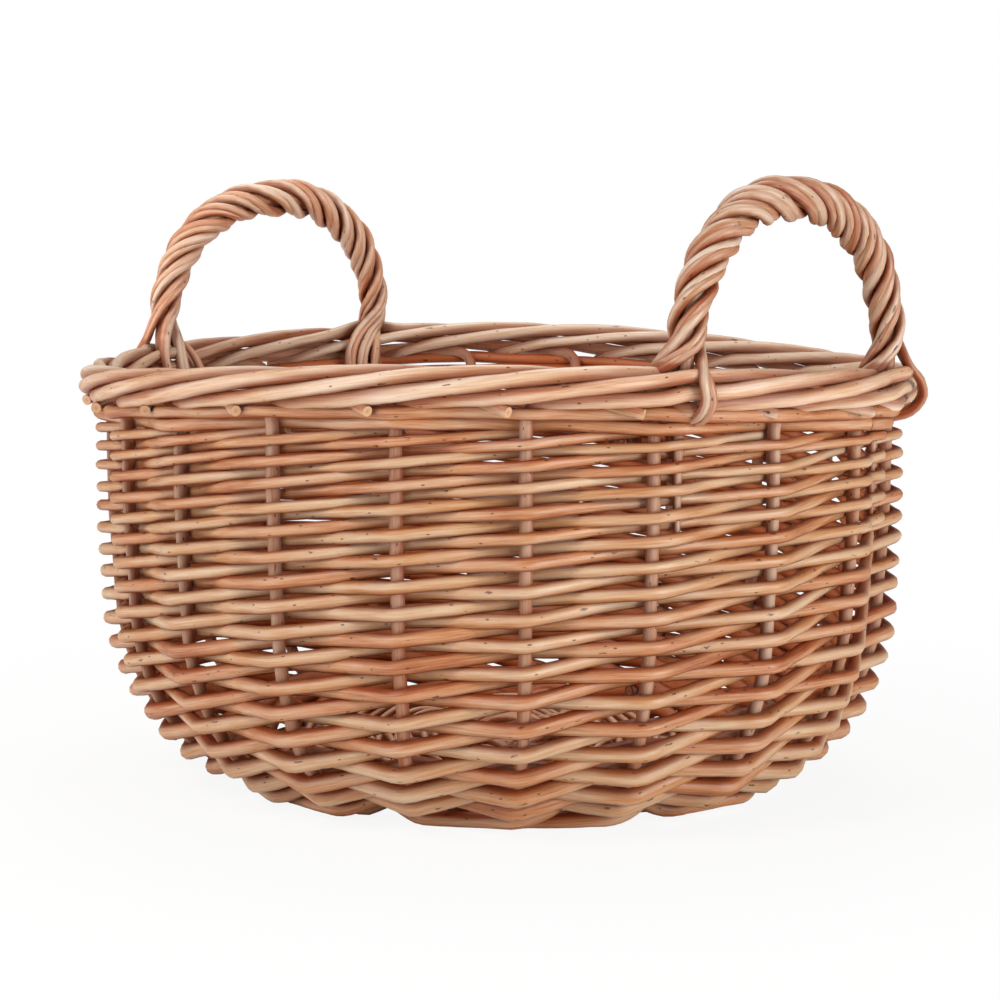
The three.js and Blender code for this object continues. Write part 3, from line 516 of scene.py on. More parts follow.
def seat(stake, climb, radius, side):
    """How far from the middle of a stake a rod passes it, with its bend allowed for."""
    reach = STAKE_RADIUS + radius + GAP
    ends = [stake_at((stake + step) % STAKE_COUNT, climb)[0] for step in (0, 1)]
    run = (ends[0] - ends[1]).length
    kink = abs(math.atan(2 * reach / run) + side * math.pi / STAKE_COUNT)
    return reach / math.cos(kink)


TOP_WALE_HEIGHT = RIM_HEIGHT - BORDER_ROPE_RADIUS - BORDER_ROD_RADIUS - TUCK_ROOM - TOP_WALE_RADIUS
TOP_WALE_CLIMB = WALL_LENGTH + TOP_WALE_HEIGHT - WALL_TOP
SIDING_FLOOR = UPSETT_MIDDLES[-1] + UPSETT_TWIST + UPSETT_ROD + GAP - SIDING_TUCKED_DOWN
SIDING_CEILING = TOP_WALE_CLIMB - TOP_WALE_RADIUS + SIDING_TUCKED_UP
SIDING_PITCH = (SIDING_CEILING - SIDING_FLOOR) / (SIDING_COURSES + 1)
SIDING_SHRINK = 2 * (1 - SIDING_TAPER) / (1 + SIDING_TAPER)


def siding_radius(course):
    crowding = SIDING_CROWDING * max(0, 1 - course / SIDING_CROWDED_COURSES)
    pitch = SIDING_PITCH * (1 + SIDING_SHRINK * (0.5 - course / SIDING_COURSES))
    return (pitch * (1 - crowding) - GAP) / 2


def siding_climb(course):
    """The place along the wall's outline of a siding rod; its steps shrink as the rod tapers."""
    gained = course + 0.5 - SIDING_SHRINK * course * course / (2 * SIDING_COURSES)
    return SIDING_FLOOR + SIDING_PITCH * (gained + SIDING_SHRINK * course / 2 + SIDING_SHRINK / 4)


def siding_side(course):
    """Whether a siding rod passes inside or outside the stake at a course."""
    return -1 if course % 2 == 0 else 1


def sway(share):
    """From 1 at a stake to -1 at the next: nearly straight, with a soft bend at each stake."""
    return (1 - SIDING_STRAIGHTNESS) * math.cos(math.pi * share) + SIDING_STRAIGHTNESS * (1 - 2 * share)


# Rods pass a leg at a slant of a twentieth of a turn
LEG_SLANT = math.cos(math.pi / 10)


def leg_detour(stake, course, radius):
    """The place where a siding rod passes a leg of a handle, or None."""
    for station, _, _ in LEGS:
        leg_share = station_gap(station, stake + STAKE_PHASE)
        if not 0 < leg_share < 1:
            continue
        climb = mix(siding_climb(course), siding_climb(course + 1), leg_share)
        at, _ = between(stake, leg_share, climb)
        height = at.z - RIM_HEIGHT
        if height < -BOW_TIP_DROP - LEG_TIP_ROOM:
            continue
        side = siding_side(course if leg_share < 0.5 else course + 1)
        off = leg_out(height) + side * (leg_radius(height) + radius + GAP) / LEG_SLANT
        return leg_share, on_rim(station, off, height)
    return None


def siding_path(first):
    """A siding rod up the wall; while it is drawn, each stop has its place in courses too."""
    stops = []
    fullness = rng.uniform(*SIDING_FULLNESS)
    starts = [rng.uniform(0, TURN) for _ in SIDING_WAVES]
    for course in range(SIDING_COURSES + 1):
        stake = first + course
        side = siding_side(course)
        for step in range(SIDING_STEPS if course < SIDING_COURSES else 1):
            share = step / SIDING_STEPS
            place = course + share
            radius = siding_radius(place)
            climb = siding_climb(place)
            for (amount, pace), start in zip(SIDING_WAVES, starts):
                climb += amount * math.sin(pace * place + start)
            off_here = side * seat(stake, climb, radius, side)
            off_next = -side * seat(stake + 1, climb, radius, -side)
            off = mix(off_here, off_next, (1 - sway(share)) / 2)
            off *= mix(SIDING_PRESS, 1, ease(place, 0, SIDING_PRESSED_COURSES))
            at, out = between(stake, share, climb)
            stops.append((at + out * off, radius, place))
        detour = leg_detour(stake, course, siding_radius(course + 0.5))
        if detour and course < SIDING_COURSES:
            place = course + detour[0]
            stops = [stop for stop in stops if abs(stop[2] - place) > SAME_STATION]
            stops.append((detour[1], siding_radius(place), place))
            stops.sort(key=lambda stop: stop[2])
    stops = [(at, radius * fullness * mix(SIDING_LOW_FULLNESS, 1, ease(place, 0, SIDING_FULL_COURSES)))
             for at, radius, place in stops]
    start = stops[0][0] + (stops[0][0] - stops[1][0]) * SIDING_END_PAST
    end = stops[-1][0] + (stops[-1][0] - stops[-2][0]) * SIDING_END_PAST
    return [(start, stops[0][1]), *stops, (end, stops[-1][1])]


def upsett_path(rod, middle):
    """One round of a rod of the wale at the foot: outside two stakes, inside the third, and so on."""
    stops = []
    for step in range(UPSETT_STROKES * 3):
        stake = rod + step
        here, there = (UPSETT_PHASES[phase % 3] for phase in (step, step + 1))
        for k in range(UPSETT_STEPS):
            share = k / UPSETT_STEPS
            eased = (1 - math.cos(math.pi * share)) / 2
            climb = middle + UPSETT_TWIST * mix(here[1], there[1], eased)
            climb += here[2] * math.sin(math.pi * share)
            off = mix(here[0] * seat(stake, middle, UPSETT_ROD, here[0]),
                      there[0] * seat(stake + 1, middle, UPSETT_ROD, there[0]), eased)
            at, out = between(stake, share, climb)
            stops.append((at + out * off, UPSETT_ROD))
    return stops


def top_wale_path(rod):
    """Two thin rods under the border: one in and out of the stakes, and one outside them all."""
    stops = []
    lift = rod * TOP_WALE_LIFT
    for stake in range(STAKE_COUNT + 1):
        here = 1 if rod else siding_side(SIDING_COURSES + 1 + stake)
        there = 1 if rod else -here
        off = here * seat(stake, TOP_WALE_CLIMB, TOP_WALE_RADIUS, here)
        bob = uneven("top wale height", stake, rod)
        girth = TOP_WALE_ROD * (1 + uneven("top wale girth", stake, rod))
        at, out = stake_at(stake % STAKE_COUNT, TOP_WALE_CLIMB + lift + bob)
        stops.append((at + out * off, girth))
        if stake == STAKE_COUNT:
            continue
        legs = [station_gap(leg[0], stake + STAKE_PHASE) for leg in LEGS]
        passed = [share for share in legs if 0 < share < 1]
        for share in passed or [1 / 3, 2 / 3]:
            if passed:
                height = TOP_WALE_HEIGHT + lift - RIM_HEIGHT
                near = here if share < 0.5 else there
                reach = near * (leg_radius(height) + TOP_WALE_ROD + GAP) / LEG_SLANT
                station = stake + STAKE_PHASE + share
                stops.append((on_rim(station, leg_out(height) + reach, height), TOP_WALE_ROD))
            else:
                at, out = between(stake, share, TOP_WALE_CLIMB + lift)
                pull = TOP_WALE_SLACK if rod else sway(share)
                stops.append((at + out * (off * pull), TOP_WALE_ROD))
    return stops


STICK_END = MEAN_RADIUS - STICK_END_INSET
STICK_PITCH = 2 * STICK_RADIUS + GAP
ENDS = STAKE_COUNT // 2
CROSS = on_stick(0, 1).normalized()
CROSSWAYS = UP.cross(CROSS)


def base_at(stick, radius):
    at = on_stick(stick % ENDS, radius)
    at.z = base_height(MEAN_RADIUS - radius)
    return at


def stick_path(end_a, end_b, axis, offset, offset_axis, slit):
    """A base stick from end to end; only in the cross it runs straight beside its neighbours."""
    radii = [mix(STICK_END, STICK_OPENING_RADIUS, share) for share in (0, 0.25, 0.5, 0.75, 1)]
    reach = (SLIT_LENGTH / 2 if slit else STICK_PITCH * 1.5) + CROSSING_ROOM
    middle = offset_axis * offset
    middle.z = base_height(MEAN_RADIUS)
    stops = [base_at(end_a, radius) for radius in radii]
    stops += [middle + axis * reach, middle - axis * reach]
    stops += [base_at(end_b, radius) for radius in reversed(radii)]
    return [(at, STICK_RADIUS) for at in stops]


STAKE_FIRST_RADIUS = MEAN_RADIUS - WALL_FOOT_INSET - STAKE_IN_BASE - GROUP_LEAD


def group_half_width(radius):
    """Half the width of a stick with its two stakes, or nothing further in than the stakes."""
    if radius < STAKE_FIRST_RADIUS:
        return 0
    inset = MEAN_RADIUS - radius
    share = ease(inset, FAN_START_INSET, FAN_END_INSET)
    beside = STICK_RADIUS + GAP + STAKE_RADIUS
    return mix(beside, radius * math.sin(math.pi / STAKE_COUNT), share) + GROUP_ROOM


def base_weaver_path(rod):
    """A base weaver over one group and under the next, in chase with the other."""
    stops = []
    for step in range(BASE_WEAVE_ROUNDS * ENDS + 1):
        radius = BASE_WEAVE_START + BASE_WEAVE_PITCH * (2 * (step / ENDS) + rod)
        direction = on_stick(step % ENDS, 1).normalized()
        across = UP.cross(direction)
        wide = group_half_width(radius)
        run = 2 * radius * math.sin(math.pi / ENDS) - 2 * wide
        reach = max(STICK_RADIUS, STAKE_RADIUS) + BASE_WEAVER_RADIUS + GAP
        lift = reach / math.cos(math.atan(2 * reach / run) * BASE_WEAVE_KINK) + (GROUP_LIFT if wide else 0)
        side = 1 if (step + rod) % 2 == 0 else -1
        for place in [-wide, wide] if wide else [0]:
            at = base_at(step, radius) + across * place
            at.z += side * lift
            stops.append((at, BASE_WEAVER_RADIUS))
    return stops


def tie_path(rod):
    """The first rounds of a base weaver, over and under the four arms of the cross."""
    stops = []
    for step in range(4 * TIE_ROUNDS + 1):
        reach = TIE_START + TIE_PITCH * step / 4 + TIE_APART * rod
        width, start, growth = TIE_WIDTHS[step % 2]
        wide = width + growth * (reach - start)
        direction = CROSS if step % 2 == 0 else CROSSWAYS
        if step % 4 > 1:
            direction = -direction
        side = 1 if (step + rod) % 2 == 0 else -1
        for place in (-wide, wide):
            at = direction * reach + UP.cross(direction) * place
            at.z = base_height(MEAN_RADIUS - reach)
            at.z += side * (STICK_RADIUS + BASE_WEAVER_RADIUS + GAP)
            stops.append((at, BASE_WEAVER_RADIUS))
    return stops


# Handles
def bow_place(handle, share):
    """The middle of a bow above its legs, from the first leg at 0 to the second at 1."""
    angle = math.pi * share
    first, second = (leg[1] for leg in handle["legs"])
    power = 2 / handle["roundness"][0 if share < 0.5 else 1]
    across = math.copysign(abs(math.cos(angle)) ** power, math.cos(angle))
    rise = max(0.0, math.sin(angle)) ** power
    at = first.lerp(second, (1 - across) / 2)
    at.x += handle["end"] * handle["lean"] * rise
    at.z = RIM_HEIGHT + HANDLE_LEG + (HANDLE_HEIGHT - HANDLE_LEG) * rise
    return at


def bow_at(handle, share):
    """A place on a bow, and two directions away from it: outwards and sideways."""
    at = bow_place(handle, share)
    along = bow_place(handle, min(1, share + 0.01)) - bow_place(handle, max(0, share - 0.01))
    along.normalize()
    out = Vector((handle["end"], 0, 0))
    out = (out - along * out.dot(along)).normalized()
    return at, out, along.cross(out)


def leg_path(leg):
    """A bow's pointed end, from its tip up through the border."""
    return [(on_rim(leg[0], leg_out(-drop), -drop), leg_radius(-drop)) for drop in BOW_LEG_DROPS]


def fullness_at(share):
    """How full a handle is: its legs are slimmer than its top."""
    return mix(LEG_FULLNESS, 1, math.sin(math.pi * share))


def bow_path(handle):
    first, second = handle["legs"]
    shares = [i / BOW_STOPS for i in range(BOW_STOPS + 1)]
    arch = [(bow_place(handle, share), BOW_RADIUS * fullness_at(share)) for share in shares]
    return leg_path(first) + arch + leg_path(second)[::-1]


# The way of a bundle below its winding: height, share of the foot's place, share of a quarter turn,
# and for a bundle over the border the share of its sweep and how far out it lies
FOOT_INSIDE = [(11, 0.25, 0.3), (4, 0.6, 0.6), (-5, 0.9, 0.85), (-15, 1, 1), (-26, 1, 1)]
FOOT_OVER = [(10, 0.45, 0.4, 0.3, 9.6), (3, 1, 1, 0.8, 12), (-4, 1, 1, 1.1, 12), (-10, 1, 1, 1, 8.4),
             (-12.4, 1, 1, 0.8, 1)]
FOOT_WIND = 6.8
FOOT_DEPTH = 14
FOOT_FULLNESS = 0.84
# Over the border a bundle lies flat on it, and turns under it from this drop
FOOT_UNDER_DROP = 8
FOOT_UNDER_LEAN = 0.3


def wrap_end(leg, direction, sweeps):
    """The rest of a bundle from its leg: over the border and under it, or down inside the wall."""
    _, at, out = leg
    ahead = UP.cross(out)
    before = (direction.dot(out), direction.dot(ahead))
    after = (before[1], -before[0])
    route = "over" if after[0] > 0 else "inside"
    if abs(after[1]) > abs(after[0]):
        route = "ahead" if after[1] > 0 else "behind"
    sweep = sweeps[route]
    stops = []
    for i, foot in enumerate(FOOT_OVER if route == "over" else FOOT_INSIDE):
        height, share, turned = foot[:3]
        outwards, along = (foot[4], sweep * foot[3]) if route == "over" else (-FOOT_DEPTH, sweep)
        angle = math.pi / 2 * turned
        winding = [FOOT_WIND * (a * math.cos(angle) + b * math.sin(angle)) for a, b in zip(before, after)]
        place = at + out * mix(winding[0], outwards, share) + ahead * mix(winding[1], along, share)
        place.z = RIM_HEIGHT + height
        turn = out if route == "over" else -out
        if share < 1:
            turn = (out * winding[0] + ahead * winding[1]).normalized()
        if route == "over" and height < -FOOT_UNDER_DROP:
            turn = (out * FOOT_UNDER_LEAN - UP).normalized()
        stops.append((place, turn, mix(LEG_FULLNESS, FOOT_FULLNESS, (i + 1) / len(FOOT_OVER))))
    return stops


def wrap_frames(handle, bundle):
    """Middle, thickness direction and size along one bundle of two thin rods."""
    steps = round(WRAP_TURNS * WRAP_STEPS)
    radius = BOW_RADIUS + GAP + WRAP_HALF_THICKNESS - WRAP_PRESS
    start = rng.uniform(0, TURN)
    rise = HANDLE_HEIGHT - HANDLE_LEG
    clear = math.asin((WRAP_LEAVE - HANDLE_LEG) / rise) / math.pi
    stops = []
    for i in range(steps + 1):
        at, out, side = bow_at(handle, mix(clear, 1 - clear, i / steps))
        angle = 2 * math.pi * (bundle / WRAP_RODS + WRAP_TURNS * i / steps)
        angle += WRAP_STRAY * math.sin(math.pi * i / steps) * math.sin(WRAP_STRAY_WAVE * i / steps + start)
        away = out * math.cos(angle) + side * math.sin(angle)
        full = fullness_at(i / steps)
        stops.append((at + away * (radius * full), away, full))
    first, second = handle["legs"]
    before, after = handle["sweeps"]
    return wrap_end(first, stops[0][1], before)[::-1] + stops + wrap_end(second, stops[-1][1], after)


def wrap_paths(handle, bundle):
    """The two thin rods of a bundle, side by side."""
    frames = wrap_frames(handle, bundle)
    paths = ([], [])
    for i, (at, away, size) in enumerate(frames):
        along = frames[min(i + 1, len(frames) - 1)][0] - frames[max(i - 1, 0)][0]
        across = along.normalized().cross(away).normalized()
        tilt = uneven("bundle tilt", i, bundle)
        apart = (across * math.cos(tilt) + away * math.sin(tilt)) * (WRAP_ROD_APART * size)
        girth = WRAP_ROD_RADIUS * size * (1 + uneven("bundle girth", i, bundle))
        for path, hand in zip(paths, (-1, 1)):
            path.append((at + apart * hand, girth))
    return list(paths)


# The curve through the stops is drawn in pieces of this share of a step, then stepped along
FINE_SHARE = 0.4


def smooth(path, step):
    """Even steps along a centripetal Catmull-Rom curve through the stops."""
    points = [stop[0] for stop in path]
    radii = [stop[1] for stop in path]
    points = [points[0] * 2 - points[1], *points, points[-1] * 2 - points[-2]]
    radii = [radii[0], *radii, radii[-1]]
    fine = []
    for i in range(1, len(points) - 2):
        p = points[i - 1:i + 3]
        t = [0.0]
        for a, b in zip(p, p[1:]):
            t.append(t[-1] + max((b - a).length, 1e-6) ** 0.5)
        pieces = max(2, math.ceil((p[2] - p[1]).length / (step * FINE_SHARE)))
        for k in range(pieces):
            s = mix(t[1], t[2], k / pieces)
            a1 = p[0].lerp(p[1], (s - t[0]) / (t[1] - t[0]))
            a2 = p[1].lerp(p[2], (s - t[1]) / (t[2] - t[1]))
            a3 = p[2].lerp(p[3], (s - t[2]) / (t[3] - t[2]))
            b1 = a1.lerp(a2, (s - t[0]) / (t[2] - t[0]))
            b2 = a2.lerp(a3, (s - t[1]) / (t[3] - t[1]))
            fine.append((b1.lerp(b2, (s - t[1]) / (t[2] - t[1])), mix(radii[i], radii[i + 1], k / pieces)))
    fine.append((points[-2], radii[-2]))
    even = [fine[0]]
    gone = 0.0
    for a, b in zip(fine, fine[1:]):
        gone += (b[0] - a[0]).length
        if gone >= step:
            even.append(b)
            gone = 0.0
    if gone > step * FINE_SHARE:
        even.append(fine[-1])
    return even


# Which way the open air lies from a point on a rod's middle line; faces turned away from it get painted
# shade. The direction is shorter where the rod lies deep, which paints more shade on it. Under
# WALL_CURVE_HEIGHT the wall curves in and faces downwards too.
WALL_CURVE_HEIGHT = 95
# Stakes in the wall lie behind the siding, and this shorter direction paints more shade on them
SHADED_STAKE_OPENNESS = 0.55
BOW_SAMPLES = 60


def open_from_wall(point):
    return (point - UP * max(point.z, WALL_CURVE_HEIGHT)).normalized()


def open_from_rim(point):
    angle = math.atan2(point.y / RIM_HALF_WIDTH, point.x / RIM_HALF_LENGTH)
    middle = Vector((RIM_HALF_LENGTH * math.cos(angle), RIM_HALF_WIDTH * math.sin(angle), RIM_HEIGHT))
    return (point - middle).normalized()


def open_from_border(point):
    if point.z < RIM_HEIGHT - BORDER_ROPE_RADIUS - 2 * BORDER_ROD_RADIUS:
        return open_from_wall(point) * SHADED_STAKE_OPENNESS
    return open_from_rim(point)


# The base faces up, so the undersides of its rods get painted shade
def open_from_base(point):
    return UP


def open_from_bow(handle):
    line = [bow_place(handle, i / BOW_SAMPLES) for i in range(BOW_SAMPLES + 1)]

    def open_way(point):
        if point.z < RIM_HEIGHT + HANDLE_LEG:
            return open_from_rim(point)
        return (point - min(line, key=lambda place: (place - point).length)).normalized()

    return open_way


# Materials
def linear(hex_colour):
    """An sRGB hex colour as linear red, green, blue and alpha."""
    parts = [int(hex_colour[i:i + 2], 16) / 255 for i in (1, 3, 5)]
    return (*(c / 12.92 if c <= 0.04045 else ((c + 0.055) / 1.055) ** 2.4 for c in parts), 1)


def grey(level):
    return level, level, level, 1


def node(tree, kind, inputs=None, stops=(), **settings):
    """Adds one node with its settings and links.

    An input is a value, an output, or a node whose first output is meant. Stops are the positions
    and colours of a colour ramp.
    """
    made = tree.nodes.new(kind)
    for name, value in settings.items():
        setattr(made, name, value)
    for i, (position, colour) in enumerate(stops):
        elements = made.color_ramp.elements
        element = elements[i] if i < len(elements) else elements.new(position)
        element.position = position
        element.color = colour
    for name, value in (inputs or {}).items():
        source = value.outputs[0] if isinstance(value, bpy.types.Node) else value
        if isinstance(source, bpy.types.NodeSocket):
            tree.links.new(source, made.inputs[name])
        else:
            made.inputs[name].default_value = source
    return made


def new_material(name):
    """A material whose node tree is still empty."""
    material = bpy.data.materials.new(name)
    material.use_nodes = True
    material.node_tree.nodes.clear()
    return material


# Every rod starts elsewhere in the patterns of its skin and its lumps, in millimetres
SKIN_START = 977
LUMPS_START = 333
# The share of a rod's length that each pattern of the skin keeps, so that its marks are drawn out
GRAIN_SHARES = {
    "streaks": 0.05, "patches": 0.09, "flecks": 0.16, "scars": 0.3, "specks": 0.45, "edges": 0.5,
}
# How much of a rod's shade comes from its own tone, from its patches and from its streaks
TONE_SHARE = 0.15
PATCH_SHARE = 0.75
STREAK_SHARE = 0.55
# Of a hue, 0.5 is no change
LOWEST_HUE = 0.4995
HUE_SPREAD = 0.008
# The tint of the painted shade in crevices, under rods and on their inner side
CREVICE_SHADE_TINT = "#802803"
INNER_TINT = "#C96C3C"
FLECK_TINT = "#8A5430"
SCAR_TINT = "#45200F"


def peeled_willow(name, dark, middle, light, roughness, painted_shade_share, warmth):
    """Peeled and dried willow: satin skin with a long grain, pale and dark streaks, and bud scars."""
    material = new_material(name)
    tree = material.node_tree
    section = node(tree, "ShaderNodeAttribute", attribute_name="section").outputs["Vector"]
    along, tone, openness, inner = (
        node(tree, "ShaderNodeAttribute", attribute_name=label).outputs["Fac"]
        for label in ("along", "tone", "open", "inner"))
    across = node(tree, "ShaderNodeSeparateXYZ", {0: section})
    length = node(tree, "ShaderNodeMath", {0: tone, 1: SKIN_START, 2: along}, operation="MULTIPLY_ADD")
    grain = node(tree, "ShaderNodeCombineXYZ", {0: across.outputs[0], 1: across.outputs[1], 2: length})
    space = {label: node(tree, "ShaderNodeMapping", {"Vector": grain, "Scale": (1, 1, share)})
             for label, share in GRAIN_SHARES.items()}

    # Streaks 0.7 mm wide and about 14 mm long
    streaks = node(tree, "ShaderNodeTexNoise", {
        "Vector": space["streaks"], "Scale": 1.4, "Detail": 4, "Roughness": 0.6})
    # Slow patches, about 50 mm long
    patches = node(tree, "ShaderNodeTexNoise", {
        "Vector": space["patches"], "Scale": 0.22, "Detail": 3, "Roughness": 0.55})
    # Rubbed flecks, 1 mm wide and about 6 mm long
    flecks = node(tree, "ShaderNodeTexNoise", {
        "Vector": space["flecks"], "Scale": 1, "Detail": 2, "Roughness": 0.5})
    flecks = node(tree, "ShaderNodeValToRGB", {"Fac": flecks}, [
        (0, grey(0)), (0.7, grey(0)), (0.76, grey(1))])
    # Bud scars, 1.2 mm wide and 4 mm long, one in about 50 mm of rod, with ragged edges
    edges = node(tree, "ShaderNodeTexNoise", {"Vector": space["edges"], "Scale": 1.1}).outputs["Color"]
    ragged = node(tree, "ShaderNodeVectorMath", {0: edges, 1: (1.6, 1.6, 1.6), 2: space["scars"]},
                  operation="MULTIPLY_ADD")
    scars = node(tree, "ShaderNodeTexVoronoi", {"Vector": ragged, "Scale": 0.165, "Randomness": 1})
    scars = node(tree, "ShaderNodeValToRGB", {"Fac": scars}, [
        (0, grey(1)), (0.07, grey(0.85)), (0.1, grey(0))])
    # Specks, 0.8 mm wide and 2 mm long
    specks = node(tree, "ShaderNodeTexVoronoi", {"Vector": space["specks"], "Scale": 0.27, "Randomness": 1})
    specks = node(tree, "ShaderNodeValToRGB", {"Fac": specks}, [
        (0, grey(1)), (0.08, grey(0.8)), (0.115, grey(0))])
    scars = node(tree, "ShaderNodeMath", {0: scars, 1: specks}, operation="MAXIMUM")

    shade = -TONE_SHARE / 2
    for part, share in ((tone, TONE_SHARE), (patches, PATCH_SHARE), (streaks, STREAK_SHARE)):
        shade = node(tree, "ShaderNodeMath", {0: part, 1: share, 2: shade}, operation="MULTIPLY_ADD")
    colour = node(tree, "ShaderNodeValToRGB", {"Fac": shade}, [
        (0.34, linear(dark)), (0.58, linear(middle)), (0.86, linear(light))])
    # Painted shade: where a face turns from the open air (between its neighbours, under it or into the
    # basket) a rod is tinted a dark red-brown; where it faces out it keeps its own shades
    painted_shade = node(tree, "ShaderNodeValToRGB", {"Fac": openness}, [
        (0, grey(1)), (0.35, grey(0.78)), (0.9, grey(0))])
    # Under the other tints, rods differ a little in hue, towards straw
    hue = node(tree, "ShaderNodeMath", {0: tone, 1: HUE_SPREAD, 2: LOWEST_HUE}, operation="MULTIPLY_ADD")
    # Light that has bounced about inside the basket makes the inner side look warmer
    tints = [(painted_shade, painted_shade_share, CREVICE_SHADE_TINT), (inner, warmth, INNER_TINT), (flecks, 0.28, FLECK_TINT),
             (scars, 0.9, SCAR_TINT)]
    for layer, strength, tint in tints:
        share = node(tree, "ShaderNodeMath", {0: layer, 1: strength}, operation="MULTIPLY")
        # Of a colour mix, inputs 6 and 7 are the two colours, and output 2 is the result
        mixed = node(tree, "ShaderNodeMix", {0: share, 6: colour, 7: linear(tint)}, data_type="RGBA")
        colour = mixed.outputs[2]
        if layer is painted_shade:
            colour = node(tree, "ShaderNodeHueSaturation", {"Hue": hue, "Color": colour})

    # The grain stands up to 0.4 mm proud, and the scars are sunk into it
    height = node(tree, "ShaderNodeMath", {0: scars, 1: -0.9, 2: streaks}, operation="MULTIPLY_ADD")
    bump = node(tree, "ShaderNodeBump", {"Strength": 0.35, "Distance": 0.4 * MM, "Height": height})
    # Streaks are rougher, and where the shade is painted a rod's specular shine is dimmed too, as painted
    # shade
    rough = node(tree, "ShaderNodeMath", {0: streaks, 1: 0.2, 2: roughness}, operation="MULTIPLY_ADD")
    shade_dimmed_specular = node(tree, "ShaderNodeMath", {0: painted_shade, 1: -0.55, 2: 0.65}, operation="MULTIPLY_ADD")
    surface = node(tree, "ShaderNodeBsdfPrincipled", {
        "Base Color": colour, "Roughness": rough, "IOR": 1.47, "Normal": bump, "Specular IOR Level": shade_dimmed_specular})
    node(tree, "ShaderNodeOutputMaterial", {"Surface": surface})
    return material


def cut_willow(name):
    """A cut end of willow: dry pale wood round a dark pith, rough to the eye."""
    material = new_material(name)
    tree = material.node_tree
    section = node(tree, "ShaderNodeAttribute", attribute_name="section").outputs["Vector"]
    reach = node(tree, "ShaderNodeVectorMath", {0: section}, operation="LENGTH").outputs["Value"]
    wood = node(tree, "ShaderNodeTexNoise", {"Vector": section, "Scale": 2.5, "Detail": 3})
    wood = node(tree, "ShaderNodeMath", {0: wood, 1: 0.2}, operation="MULTIPLY")
    # From 0 in the pith to 1 at the skin of a rod 5.6 mm thick
    far = node(tree, "ShaderNodeMath", {0: reach, 1: 0.36, 2: wood}, operation="MULTIPLY_ADD")
    colour = node(tree, "ShaderNodeValToRGB", {"Fac": far}, [
        (0.1, linear("#7A4A2A")), (0.24, linear("#C2946C")), (0.8, linear("#D0A580")),
        (1, linear("#A06A42"))])
    surface = node(tree, "ShaderNodeBsdfPrincipled", {"Base Color": colour, "Roughness": 0.8})
    node(tree, "ShaderNodeOutputMaterial", {"Surface": surface})
    return material


# For each finish its darkest, middle and palest shade, its least roughness, and how much of the painted
# shade in crevices and of the inner tint it takes. The wall gets the most painted shade between its rods.
# The border is paler and worn smooth. The base is duller. The handles are one willow: the right one is
# greyer and darker, as painted shade, and the left one paler and redder, as painted light.
WILLOWS = {
    "siding": ("#8A3B12", "#B97D52", "#CAAB8E", 0.30, 0.97, 0.65),
    "border": ("#A9623A", "#CFA381", "#E2CBB7", 0.30, 0.72, 0.4),
    "base": ("#964C24", "#C78A61", "#DDB294", 0.40, 0.8, 0.0),
    "right_handle": ("#8F4A24", "#B07C5B", "#D0B8A5", 0.30, 0.85, 0.0),
    "left_handle": ("#B25E33", "#D79C76", "#EDD0BB", 0.30, 0.72, 0.0),
}
willows = {label: peeled_willow(f"peeled_willow_{label}", *look) for label, look in WILLOWS.items()}
end_willow = cut_willow("cut_willow_ends")


# The sweep: every rod is a round tube along its path, a little lumpy, with closed ends
ROD_SIDES = 10
ROD_STEP = 3.6
UNEVENNESS = 0.06
# A rod swells to 1.05 and thins to 0.93 of its girth, over about 22 mm
SWELLING = {"From Min": 0.25, "From Max": 0.75, "To Min": 0.93, "To Max": 1.05}
# Its lumps are about 3 mm wide and 25 mm long, and mostly dents
LUMP_LEVEL = 0.62
LUMP_SHARE = 0.12
LUMP_HEIGHT = 4


